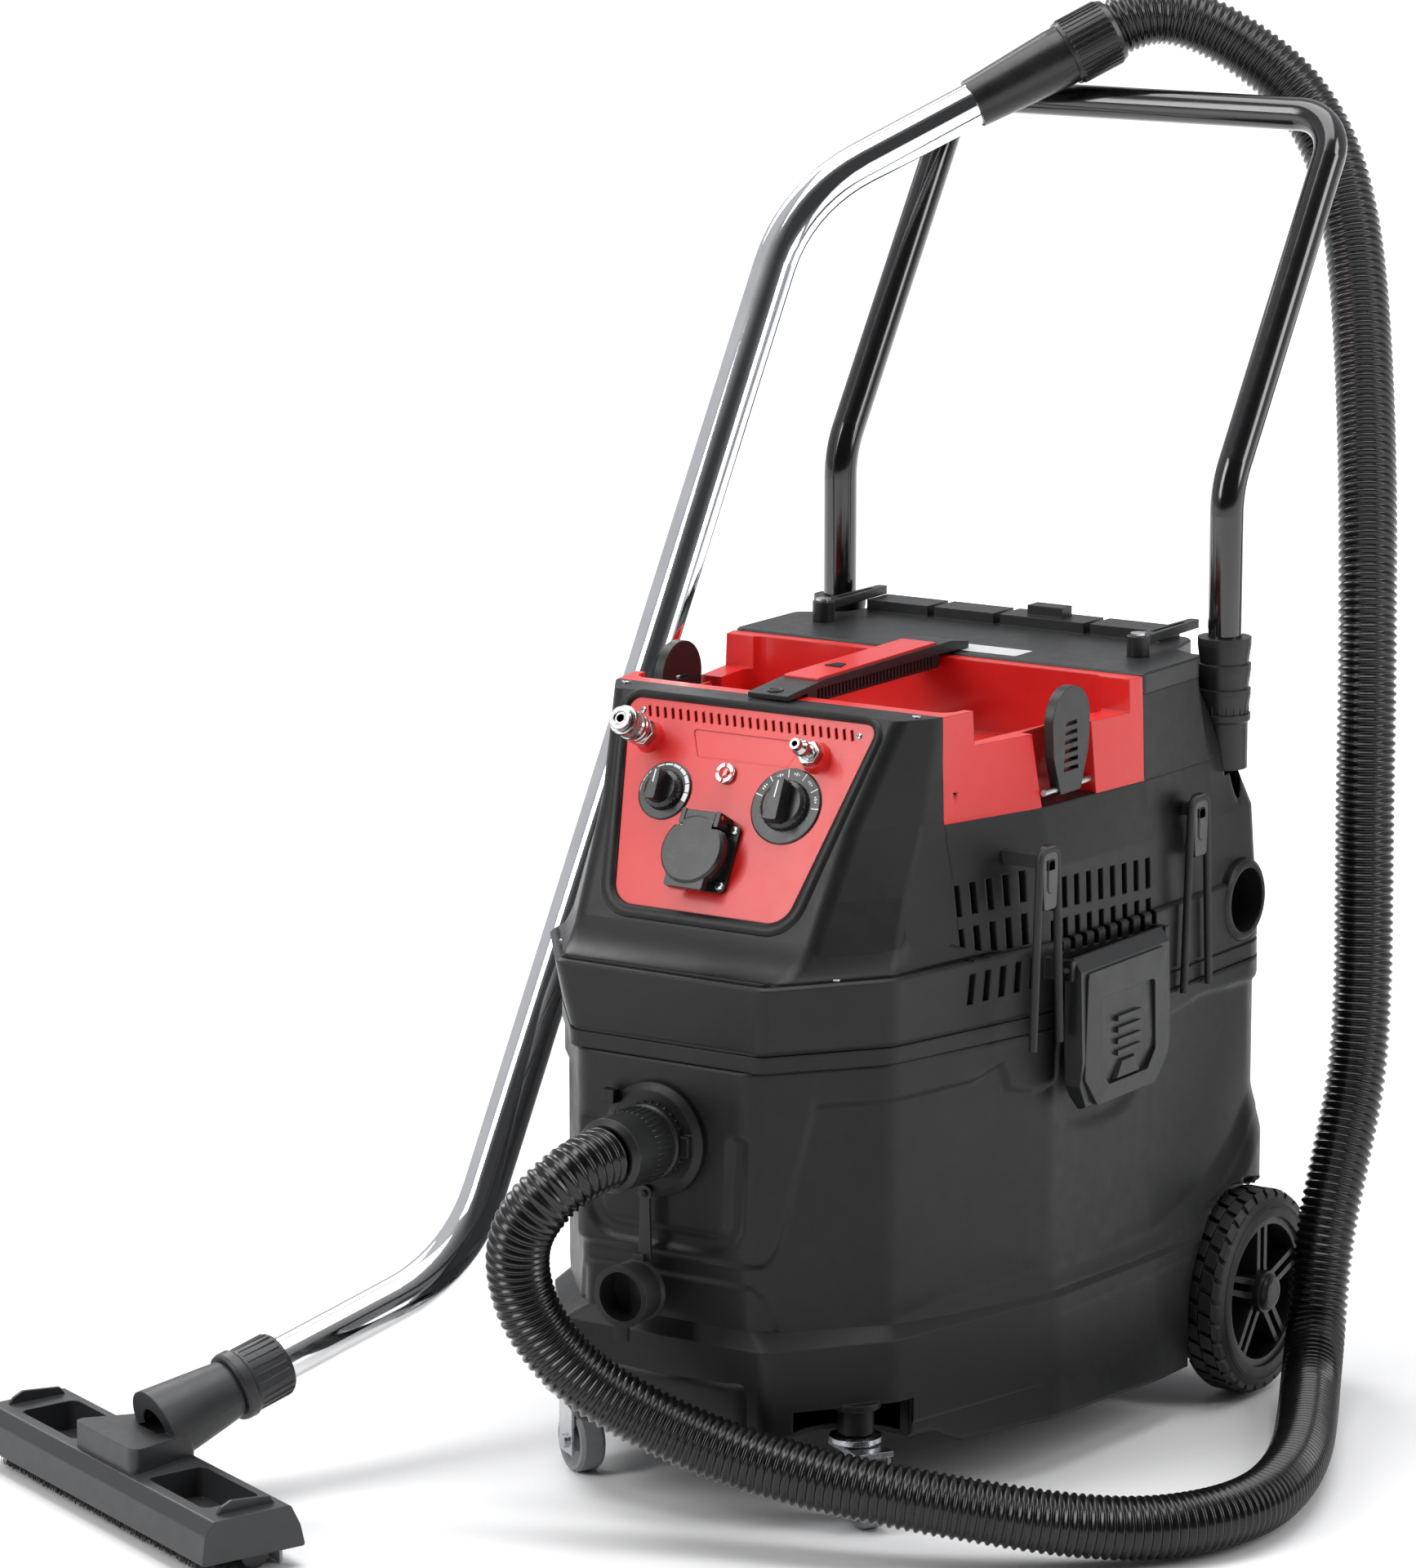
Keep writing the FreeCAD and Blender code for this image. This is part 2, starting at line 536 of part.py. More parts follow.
def make_clips():
    """Upright paddles that hold a tool box on the head."""
    width, thick = dim("clip_width"), dim("clip_thick")
    for name, side in SIDES.items():
        paddle = outline([(-15, -4), (15, -4), (width / 2 - 4, 26), (width / 2, 78), (-width / 2, 78),
                          (-width / 2 + 4, 26)], [3, 3, 10, 27, 27, 10])
        plate = extruded(paddle, thick, (side * 178 - thick / 2, 227, 533), X, Y)
        slots = [box((side * 178 - 9, 227 - 11 + row * 0.5, 546 + row * 7), (side * 178 + 9, 227 + 11 - row * 0.5,
                 549 + row * 7)) for row in range(6)]
        keep("toolbox_clip_" + name, cut(plate, cylinder(2.55, 60, (side * 178, 200, 533), Y), *slots))


def make_latches():
    """Side latches with ribs and all side pins; returns the latch brackets."""
    length = dim("latch_length")
    start = 250 - length / 2
    brackets, pins = [], []
    for name, side in SIDES.items():
        shape = [(204.5, 352), (204.5, 408), (212, 411), (219, 400), (221, 330), (217, 292), (209, 289), (206, 300)]
        profile = outline([(side * x, z) for x, z in shape], 2)
        plate = extruded(profile, length, (0, start + length, 0), -Y, X)
        ribs = [box((min(side * 218, side * 223.5), 232, 326 + 9 * i), (max(side * 218, side * 223.5), 268, 330 + 9 * i))
                for i in range(4)]
        ends = [extruded(outline([(y - turn, 286), (y + turn * 17, 286), (y - turn, 312)]), 40,
                         (min(side * 200, side * 240), 0, 0), X, Y)
                for y, turn in ((start, 1), (start + length, -1))]
        bore = cylinder(2.55, 200, (side * 210, 150, 402), Y)
        low, high = sorted((side * 203, side * 214.5))
        ends.append(box((low, start + 4, 306), (high, start + length - 4, 392)))
        keep("latch_" + name, cut(fuse(plate, *ribs), bore, *ends))
        pins.append(cylinder(2.5, length + 12, (side * 210, start - 6, 402), Y))
        pins.append(cylinder(2.5, 69.6, (side * 178, 192.2, 533), Y))
        for y in (start - 7, start + length + 1):
            low, high = sorted((side * 187, side * 215))
            brackets.append(box((low, y, 394), (high, y + 6, 410)))
    trimmed = cut(fuse(*brackets), free_form(loft([(HEAD_FOOT, SEAM_HALF), (LEDGE, SEAM_HALF)], BODY_RADII)),
                  *[cylinder(2.5, length + 30, (s * 210, start - 12, 402), Y) for s in SIDES.values()])
    FASTENERS.extend(pins)
    return trimmed


def make_tool_straps():
    """Elastic cords on the sides that hold accessories."""
    loops = []
    for side in SIDES.values():
        places = ((150, 20), (383, 20)) if side > 0 else ((383, 20),)
        for y, spread in places:
            x = side * 207.5
            route = [(x, y - spread, 348), (x, y - 12, 500), (x, y + 12, 500), (x, y + spread, 348)]
            loops.append(free_form(swept(route, [8, 8], 3.2)))
            inner = side * 150
            low, high = sorted((inner, side * 204))
            loops.append(box((low, y - 4, 486), (high, y + 4, 496)))
            loops.append(box((min(side * 203, side * 211), y - 5, 485), (max(side * 203, side * 211), y + 5, 492.5)))
    outer, _ = head_forms()
    keep("tool_straps", cut(fuse(*loops), free_form(outer)))


# ---------------------------------------------------------------- control panel
def make_panel():
    """Red control panel with vents, bosses and everything mounted on it."""
    thick = dim("panel_thick")
    plate = extruded(panel_outline(), thick, on_panel(0, 0, 0), PANEL_OUT, X)
    bosses = [turned([(6.1, 0), (12.4, 0), (10.5, 9), (6.1, 9)], on_panel(x, 47, thick - 0.5), PANEL_OUT)
              for x in (-84, 66)]
    slots = []
    for index in range(27):
        slot = box((-1.1, -4.5, -6), (1.1, 4.5, 9))
        place = frame(on_panel(-91 + index * 7, 68, 0), PANEL_OUT, X)
        slot.Placement = place.multiply(Placement(V(0, 0, 0), Rotation(Z, 22))).multiply(slot.Placement)
        slots.append(slot)
    holes = [cylinder(4.05, 20, on_panel(x, up, -8), PANEL_OUT) for x, up in ((-58, 7), (51, 7))]
    holes.append(cylinder(4, 20, on_panel(-8, 26, -8), PANEL_OUT))
    holes += [cylinder(6, 20, on_panel(x, 47, -8), PANEL_OUT) for x in (-84, 66)]
    holes.append(cylinder(20, 20, on_panel(-8, -40, -8), PANEL_OUT))
    label = extruded(outline([(-38, 37), (42, 37), (52, 58), (-48, 58)], 2), 5, on_panel(0, 0, thick - 0.8), PANEL_OUT, X)
    keep("control_panel", cut(fuse(plate, *bosses), label, *slots, *holes))
    dials = []
    for name, x, dial, grip in (("power", -58, 23, 13), ("mode", 51, 30, 17)):
        at = on_panel(x, 7, thick)
        dials.append(turned([(4.05, 0), (dial, 0), (dial, 1), (dial - 1, 1.6), (4.05, 1.6)], at, PANEL_OUT))
        skirt = turned([(0, -9), (4, -9), (4, 1.9), (grip + 3, 1.9), (grip + 2, 6), (grip - 1, 8), (0, 8)], at, PANEL_OUT)
        bar = extruded(outline([(-grip * 0.36, -grip + 1), (grip * 0.36, -grip + 1), (grip * 0.26, grip),
                                (-grip * 0.26, grip)], 2), 13, at + PANEL_OUT * 7, PANEL_OUT, X)
        keep(name + "_knob", fuse(skirt, bar))
    keep("knob_dials", fuse(*dials))
    lamp = [(0, -8), (3.9, -8), (3.9, 0), (7.5, 0), (7.5, 2.5), (6.5, 3.5), (4.6, 3.5), (2.8, 5.2), (0, 5.6)]
    keep("indicator_lamp", turned(lamp, on_panel(-8, 26, thick), PANEL_OUT))
    make_socket(thick)
    make_air_fittings(thick)


def make_socket(thick):
    """Appliance socket with a round lid that lifts on a brass pin across its top."""
    centre = on_panel(-8, -40, thick)
    flange = extruded(outline([(-27, -27), (27, -27), (27, 27), (-27, 27)], 5), 4, centre, PANEL_OUT, X)
    well = turned([(17, -28), (19.8, -28), (19.8, 3), (23, 3), (23, 13), (17, 13)], centre, PANEL_OUT)
    floor = cylinder(19.8, 4, centre - PANEL_OUT * 32, PANEL_OUT)
    holes = [cylinder(2.4, 10, on_panel(-8 + x, -40, thick - 34), PANEL_OUT) for x in (-9.5, 9.5)]
    mouth = cylinder(17, 18, centre - PANEL_OUT * 2, PANEL_OUT)
    ears = []
    for across in (-17.4, 13.4):
        ears.append(extruded(outline([(across, 19), (across + 4, 19), (across + 4, 31), (across, 31)], 0.8), 19.5,
                             centre + PANEL_OUT * 1, PANEL_OUT, X))
    pin_line = centre + PANEL_UP * 27.3 + PANEL_OUT * 16.5
    pin_hole = cylinder(1.5, 60, pin_line - X * 30, X)
    keep("socket_body", cut(fuse(flange, well, floor, *ears), mouth, pin_hole, *holes))
    contacts = [cylinder(2.4, 12, on_panel(-8 + x, -40, thick - 38), PANEL_OUT) for x in (-9.5, 9.5)]
    keep("socket_brass", fuse(cylinder(1.5, 36, pin_line - X * 18, X), *contacts))
    lid = turned([(0, 0), (27, 0), (27, 6), (25, 8), (0, 8)], centre + PANEL_OUT * 13.2, PANEL_OUT)
    arm = extruded(outline([(-13, 10), (13, 10), (13, 30.5), (-13, 30.5)], 2), 7, centre + PANEL_OUT * 13.2, PANEL_OUT, X)
    lip = extruded(outline([(-17, -30), (17, -30), (17, -18), (-17, -18)], 2), 6, centre + PANEL_OUT * 13.2, PANEL_OUT, X)
    hollow = cylinder(18, 3, centre + PANEL_OUT * 12.5, PANEL_OUT)
    bore = cylinder(1.55, 60, pin_line - X * 30, X)
    relief = [extruded(outline([(x, 17), (x + 12, 17), (x + 12, 33), (x, 33)], 0.5), 12, centre + PANEL_OUT * 12,
                       PANEL_OUT, X) for x in (-25.2, 13.2)]
    keep("socket_lid", cut(fuse(lid, arm, lip), bore, hollow, *relief))
    cam_bolts = [turned([(0, 0), (3, 0), (3, 16.3), (6, 16.3), (6, 18.5), (0, 18.5)], (s * 146, 392, TOP + 2))
                 for s in SIDES.values()]
    screw = [(0, 0), (3, 0), (3, 0.8), (2.4, 1.6), (0, 1.6)]
    for across, up in ((-1, -1), (1, -1), (-1, 1), (1, 1)):
        at = centre + X * 23 * across + PANEL_UP * 22 * up + PANEL_OUT * 4
        cam_bolts.append(turned(screw, at, PANEL_OUT))
    for side in SIDES.values():
        cam_bolts.append(turned(screw, (side * 131, 84, TOP + 0.05), Z))
        cam_bolts.append(turned(screw, (side * 122.6, -14.5, LEDGE + 0.05), Z))
    FASTENERS.extend(cam_bolts)


def make_air_fittings(thick):
    """Compressed-air quick coupler with a sliding sleeve, and a plain plug."""
    foot = on_panel(-84, 47, thick + 8.5)
    stem = [(3.2, -20), (5.9, -20), (5.9, 0), (9.5, 0), (9.5, 7), (8.2, 8), (8.2, 36), (7, 38), (3.2, 38)]
    keep("air_coupler", turned(stem, foot, PANEL_OUT))
    sleeve = [(8.25, 0), (11.5, 0), (11.5, 3), (10.8, 4), (11.5, 5), (11.5, 8), (10.6, 10), (10.6, 17), (11.5, 18),
              (11.5, 21), (8.25, 21)]
    keep("air_coupler_sleeve", turned(sleeve, foot + PANEL_OUT * 13, PANEL_OUT))
    plug = [(2.4, -20), (5.9, -20), (5.9, 0), (8.5, 0), (8.5, 6), (5, 7), (5, 13), (6.5, 14.5), (6.5, 19), (4.2, 22),
            (4.2, 27), (2.4, 27)]
    keep("air_plug", turned(plug, on_panel(66, 47, thick + 8.5), PANEL_OUT))


# ---------------------------------------------------------------- inside the head
def make_motor():
    """Motor with its rotor and fan, bearings, plate, controls and cable gland."""
    y, radius = dim("motor_y"), dim("motor_radius")
    plate = loft([(HEAD_FOOT, inset(SEAM_HALF, 4.3)), (HEAD_FOOT + 4, inset(SEAM_HALF, 4.3))], BODY_RADII)
    keep("motor_plate", cut(free_form(plate), cylinder(20, 20, (0, y, HEAD_FOOT - 5)),
                            cylinder("exhaust_ring + 0.5", 80, (150, dim("post_y"), dim("exhaust_height")), X)))
    can = turned([(radius - 3, 0), (radius, 0), (radius, 46), (48, 52), (48, 118), (20, 126), (12, 126), (12, 121),
                  (18, 121), (45, 114), (45, 49), (radius - 3, 43)], (0, y, HEAD_FOOT + 4))
    race = [(5.05, 0), (12, 0), (12, 5), (5.05, 5)]
    lower_seat = turned([(12, 0), (46, 0), (46, 3), (12, 3)], (0, y, HEAD_FOOT + 60))
    keep("motor_can", fuse(can, lower_seat))
    keep("motor_bearings", fuse(turned([(5.05, 0), (12, 0), (12, 3), (5.05, 3)], (0, y, HEAD_FOOT + 60)),
                                turned(race, (0, y, HEAD_FOOT + 125))))
    rotor = turned([(0, 14), (5, 14), (5, 68), (30, 69), (30, 105), (5, 107), (5, 133), (0, 133)], (0, y, HEAD_FOOT))
    keep("motor_rotor", rotor)
    blades = []
    for index in range(9):
        blade = box((14, -0.8, 0), (52, 0.8, 18))
        spin = Placement(V(0, y, HEAD_FOOT + 20), Rotation(Z, 40 * index))
        blade.Placement = spin.multiply(blade.Placement)
        blades.append(blade)
    disc = turned([(5, 17), (54, 17), (54, 19), (8, 19), (8, 26), (5, 26)], (0, y, HEAD_FOOT + 20))
    eye = turned([(22, -1), (54, -1), (54, 1), (22, 1)], (0, y, HEAD_FOOT + 20))
    keep("fan_impeller", fuse(disc, eye, *blades))
    keep("control_electrics", fuse(cylinder(16, 22, on_panel(51, 7, -33), PANEL_OUT),
                                   cylinder(12, 16, on_panel(-58, 7, -27), PANEL_OUT),
                                   box((-75, 110, 470), (75, 112, 514))))
    ring, bore = dim("exhaust_ring"), dim("exhaust_bore")
    port = turned([(bore, 0), (ring - 0.1, 0), (ring - 0.1, 44), (ring - 3, 46), (bore, 46)],
                  (158, dim("post_y"), dim("exhaust_height")), X)
    keep("exhaust_port", port)


def make_filter():
    """Cartridge filter on its cage with the float ball inside."""
    y, radius, length = dim("motor_y"), dim("filter_radius"), dim("filter_length")
    foot = HEAD_FOOT - 6 - length
    pleats = []
    count = 40
    for index in range(2 * count):
        reach = radius if index % 2 else radius - 9
        angle = math.pi * index / count
        pleats.append((reach * math.cos(angle), reach * math.sin(angle)))
    media = extruded(outline(pleats), length - 8, (0, y, foot + 4))
    core = cylinder(56, 400, (0, y, 0))
    caps = [turned([(r, 0), (radius + 2, 0), (radius + 2, high), (r, high)], (0, y, z)) for r, high, z in
            ((56, 5, foot), (50, 10, foot + length - 4))]
    keep("filter_cartridge", fuse(cut(media, core), *caps))
    cage_foot = foot + 10
    posts = [cylinder(3, HEAD_FOOT - cage_foot, (30 * math.cos(a), y + 30 * math.sin(a), cage_foot))
             for a in (math.pi * i / 3 for i in range(6))]
    rings = [turned([(r, 0), (34, 0), (34, 4), (r, 4)], (0, y, z)) for r, z in
             ((0, cage_foot - 4), (26, cage_foot + 60), (26, HEAD_FOOT - 4))]
    keep("float_cage", fuse(*posts, *rings))
    ball = DOC.addObject("Part::Sphere", "ball")
    ball.Radius = 23
    ball.Placement = Placement(V(0, y, cage_foot + 24), Rotation())
    keep("float_ball", ball)


# ---------------------------------------------------------------- wand and floor tool
WAND_FOOT = V(-293, -198, 90)
WAND_LOW_BEND = V(-217, -20, 151.6)
WAND_HIGH_BEND = V(-225, 473, 936)
WAND_END = V(-45, 651, 1063.5)
TOOL_CENTRE = V(-333, -280, 0)
HOSE_ROUTE = [
    (-6, -130, 292), (-9, -157, 290), (-24, -181, 272), (-44, -187, 243), (-52, -181, 208), (-43, -172, 168),
    (-14, -154, 126), (35, -129, 94), (92, -109, 73), (156, -93, 61), (215, -74, 53), (268, -47, 44),
    (318, -14, 34), (363, 26, 27), (396, 76, 26), (405, 138, 25), (392, 206, 25.5), (366, 276, 25),
    (330, 352, 26), (297, 418, 29), (277, 462, 52), (270, 481, 92), (270, 492, 142), (269, 518, 196),
    (267, 546, 252), (262, 562, 325), (257, 570, 400), (254, 574, 478), (251, 580, 556), (243, 593, 636),
    (225, 624, 716), (201, 662, 790), (178, 694, 860), (157, 716, 920), (132, 728, 976), (98, 731, 1021),
    (57, 722, 1053), (17, 703, 1077), (-17.4, 678.3, 1083), (-36.4, 659.5, 1069.6),
]


def make_wand():
    """Chrome wand in two bends, its collar, and the coupler at the hose end."""
    route = [WAND_FOOT, WAND_LOW_BEND, WAND_HIGH_BEND, WAND_END]
    up = (WAND_END - WAND_HIGH_BEND).normalize()
    low = (WAND_LOW_BEND - WAND_FOOT).normalize()
    route[0] = WAND_FOOT - low * 12
    route[3] = WAND_END - up * 60
    keep("wand_tube", free_form(pipe(route, [150, 150], dim("wand_radius"), dim("tube_wall"))))
    sleeve = [(18, 0), (20.5, 0), (25, 78), (25, 88), (18, 88)]
    cuff = [(18, 0), (27, 0), (27.5, 4), (27.5, 40), (26, 44), (18, 44)]
    keep("hose_coupler", fuse(turned(sleeve, WAND_END - up * 118, up), turned(cuff, WAND_END - up * 30.5, up)))
    collar = [(18, 0), (26.5, 0), (27.5, 3), (27.5, 10), (25.5, 12), (24.5, 44), (22.5, 46), (18, 46)]
    keep("wand_collar", turned(collar, WAND_FOOT - low * 14, low))
    make_floor_tool(low)


def make_floor_tool(low):
    """Floor tool with pockets, neck, brush strip, squeegee and rollers."""
    length, depth, height = dim("tool_length"), dim("tool_depth"), dim("tool_height")
    yaw = Rotation(Z, dim("tool_yaw"))
    place = Placement(TOOL_CENTRE, yaw)

    def set_down(piece):
        piece.Placement = place.multiply(piece.Placement)
        return piece

    ends = outline([(-depth / 2, 13), (depth / 2, 15), (depth / 2 - 4, 32), (depth / 2 - 12, height),
                    (-depth / 2 + 10, height - 2), (-depth / 2 + 3, 36)], [2, 2, 4, 3, 3, 4])
    bar = set_down(extruded(ends, length, (-length / 2, 0, 0), X, Y))
    cuts = []
    for side in (-1, 1):
        low_x, high_x = sorted((side * 58, side * 147))
        pocket = outline([(low_x, -24), (high_x, -24), (high_x, 24), (low_x, 24)], 7)
        cuts.append(set_down(extruded(pocket, 40, (0, 0, 24))))
    cuts.append(set_down(box((-166, -34, 10), (166, -22, 20))))
    cuts.append(set_down(box((-166, 26, 10), (166, 34, 20))))
    neck = turned([(16, 0), (31, 0), (25, 52), (23, 67.7), (16, 67.7)], WAND_FOOT - low * 82, low)
    pedestal = set_down(extruded(outline([(-50, -30), (50, -30), (30, 34), (-30, 34)], 8), 22, (0, 0, height - 4)))
    ears = []
    for side in (-1, 1):
        tab = outline([(-26, height - 3), (26, height - 3), (20, height + 6), (-12, height + 8), (-20, height + 4)], 2)
        ears.append(set_down(extruded(tab, 3, (side * 166 - 1.5, 0, 0), X, Y)))
    throat = cylinder(16, 90, WAND_FOOT - low * 88, low)
    keep("brush_strip", set_down(box((-165, -33.5, 1), (165, -22.5, 19.5))))
    blade = fuse(box((-165, 29, 0.5), (165, 31.5, 19.5)), box((-165, 26.5, 15), (165, 33.5, 19.5)))
    keep("squeegee", set_down(blade))
    wheels = []
    for side in (-1, 1):
        start = side * 158
        profile = [(0, -12), (2, -12), (2, -8), (12, -8), (12, 8), (2, 8), (2, 12), (0, 12)]
        wheels.append(set_down(turned(profile, (start, 8, 12), X)))
        cuts.append(set_down(cylinder(13, 17, (start - 8.5, 8, 12), X)))
        cuts.append(set_down(cylinder(2.05, 25, (start - 12.5, 8, 12), X)))
        cuts.append(set_down(box((start - 12.5, 6, 6), (start + 12.5, 10, 12))))
    keep("tool_rollers", fuse(*wheels))
    keep("floor_tool", cut(fuse(bar, neck, pedestal, *ears), throat, *cuts))


def make_hose():
    """Corrugated hose as one tube of its outer diameter."""
    points = [V(p) for p in HOSE_ROUTE]
    radii = []
    for i in range(1, len(points) - 1):
        back, on = points[i - 1] - points[i], points[i + 1] - points[i]
        turn = math.pi - back.getAngle(on)
        radii.append(0.45 * min(back.Length, on.Length) / math.tan(turn / 2))
    keep("hose", free_form(swept(HOSE_ROUTE, radii, dim("hose_radius"))))


def settle():
    """Check every object, move the model to its origin and write the parts."""
    DOC.recompute()
    for obj in DOC.Objects:
        if "Invalid" in obj.State or "Error" in obj.State:
            raise RuntimeError("failed object " + obj.Name + " " + obj.Label)
    shapes = {}
    for name, obj in SUBPARTS.items():
        if obj.Shape.isNull() or not obj.Shape.isValid():
            raise RuntimeError("bad shape " + name)
        shapes[name] = obj.Shape
    limits = FreeCAD.BoundBox()
    for name, shape in shapes.items():
        if name != "hose":
            limits.add(shape.optimalBoundingBox(False))
    shift = V(-limits.Center.x, -limits.Center.y, -limits.ZMin)
    os.makedirs("parts", exist_ok=True)
    for old in os.listdir("parts"):
        os.remove(os.path.join("parts", old))
    for name, obj in SUBPARTS.items():
        obj.Placement = Placement(shift, Rotation()).multiply(obj.Placement)
        moved = obj.Shape.copy()
        moved.exportStep(os.path.join("parts", name + ".step"))


make_tank()
make_chassis()
make_inlet()
make_wheels()
make_casters()
make_head()
make_push_handle()
make_carry_handle()
make_clips()
make_tool_straps()
make_panel()
make_motor()
make_filter()
make_wand()
make_hose()
keep("head_fasteners", fuse(*FASTENERS))
settle()
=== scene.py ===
"""Shop vacuum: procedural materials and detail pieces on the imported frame."""
import math
import random

import bmesh
import bpy
from mathutils import Matrix, Vector


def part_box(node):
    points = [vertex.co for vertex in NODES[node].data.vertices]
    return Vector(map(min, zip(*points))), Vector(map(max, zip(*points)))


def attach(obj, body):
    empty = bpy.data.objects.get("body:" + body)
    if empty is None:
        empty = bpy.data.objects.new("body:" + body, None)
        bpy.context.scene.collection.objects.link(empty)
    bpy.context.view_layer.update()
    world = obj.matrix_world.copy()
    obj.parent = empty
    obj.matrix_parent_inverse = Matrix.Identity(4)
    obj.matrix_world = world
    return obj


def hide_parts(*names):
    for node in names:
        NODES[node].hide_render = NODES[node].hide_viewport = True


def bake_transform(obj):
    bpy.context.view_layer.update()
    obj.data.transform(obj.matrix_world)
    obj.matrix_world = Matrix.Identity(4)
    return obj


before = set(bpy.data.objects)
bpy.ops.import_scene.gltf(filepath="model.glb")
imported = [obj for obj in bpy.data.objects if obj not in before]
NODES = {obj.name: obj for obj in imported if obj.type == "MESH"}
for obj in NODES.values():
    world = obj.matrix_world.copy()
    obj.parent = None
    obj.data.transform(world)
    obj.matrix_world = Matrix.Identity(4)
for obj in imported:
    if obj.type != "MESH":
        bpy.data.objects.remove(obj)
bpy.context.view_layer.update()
random.seed(7)

AXLE_LOW, AXLE_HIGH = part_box("rear_axle")
HUB_Y, HUB_Z = 469, 83
ORIGIN_X = (AXLE_LOW[0] + AXLE_HIGH[0]) / 2
ORIGIN_Y = (AXLE_LOW[1] + AXLE_HIGH[1]) / 2 - HUB_Y / 1000
X, Y, Z = Vector((1, 0, 0)), Vector((0, 1, 0)), Vector((0, 0, 1))
SLOPE = math.radians(28)
PANEL_OUT = Vector((0, -math.cos(SLOPE), math.sin(SLOPE)))
PANEL_UP = Vector((0, math.sin(SLOPE), math.cos(SLOPE)))
TOP, LEDGE = 604, 420
PANEL_THICK = 3
SIDES = {"left": -1, "right": 1}


def at(x, y, z):
    """Point in the row frame from millimetres about the machine's centre plane."""
    return Vector((x / 1000 + ORIGIN_X, y / 1000 + ORIGIN_Y, z / 1000))


def on_panel(across, up, out=0.0):
    """Point over the control panel, in the row frame, from millimetres."""
    return at(0, 28, 529) + (X * across + PANEL_UP * up + PANEL_OUT * out) / 1000


def basis(origin, z_axis, x_axis=None):
    """Matrix of a local frame whose z is z_axis."""
    z = Vector(z_axis).normalized()
    x = Vector(x_axis) if x_axis is not None else (Y if abs(z.x) > 0.8 else X)
    x = (x - z * x.dot(z)).normalized()
    y = z.cross(x)
    return Matrix.Translation(origin) @ Matrix((x, y, z)).transposed().to_4x4()


# ---------------------------------------------------------------- materials
class Graph:
    """Short hand for a material's nodes."""

    def __init__(self, name):
        self.mat = bpy.data.materials.new(name)
        self.mat.use_nodes = True
        self.tree = self.mat.node_tree
        self.bsdf = self.tree.nodes["Principled BSDF"]
        self.coords = self.add("ShaderNodeTexCoord").outputs["Object"]

    def add(self, kind, **values):
        node = self.tree.nodes.new(kind)
        for key, value in values.items():
            setattr(node, key, value)
        return node

    def link(self, source, target):
        self.tree.links.new(source, target)

    def noise(self, scale, detail=2.0, rough=0.5):
        node = self.add("ShaderNodeTexNoise")
        node.inputs["Scale"].default_value = scale
        node.inputs["Detail"].default_value = detail
        node.inputs["Roughness"].default_value = rough
        self.link(self.coords, node.inputs["Vector"])
        return node.outputs["Fac"]

    def ranged(self, source, low, high, start=0.3, stop=0.7):
        """Maps start..stop of a source to low..high, clamped."""
        node = self.add("ShaderNodeMapRange")
        node.inputs["From Min"].default_value = start
        node.inputs["From Max"].default_value = stop
        node.inputs["To Min"].default_value = low
        node.inputs["To Max"].default_value = high
        self.link(source, node.inputs["Value"])
        return node.outputs["Result"]

    def blend(self, fac, first, second):
        """Mix of two colours, each a tuple or a socket."""
        node = self.add("ShaderNodeMix", data_type="RGBA")
        self.link(fac, node.inputs["Factor"])
        for value, label in ((first, "A"), (second, "B")):
            socket = next(item for item in node.inputs if item.name == label and item.type == "RGBA")
            if isinstance(value, tuple):
                socket.default_value = (*value, 1.0)
            else:
                self.link(value, socket)
        return next(item for item in node.outputs if item.type == "RGBA")

    def bump(self, height, strength, distance, below):
        node = self.add("ShaderNodeBump")
        node.inputs["Strength"].default_value = strength
        node.inputs["Distance"].default_value = distance
        self.link(height, node.inputs["Height"])
        self.link(below, node.inputs["Normal"])
        return node.outputs["Normal"]

    def soft_edges(self, radius):
        node = self.add("ShaderNodeBevel", samples=4)
        node.inputs["Radius"].default_value = radius
        return node.outputs["Normal"]

    def edge_mask(self, normal):
        """1 on sharp edges, 0 on flat faces."""
        geometry = self.add("ShaderNodeNewGeometry")
        dot = self.add("ShaderNodeVectorMath", operation="DOT_PRODUCT")
        self.link(normal, dot.inputs[0])
        self.link(geometry.outputs["Normal"], dot.inputs[1])
        return self.ranged(dot.outputs["Value"], 1.0, 0.0, 0.86, 0.995)

    def put(self, socket, value):
        """Sets a constant on the shader's own socket, or links a source to it."""
        if hasattr(value, "is_output"):
            self.link(value, self.bsdf.inputs[socket])
        else:
            self.bsdf.inputs[socket].default_value = value


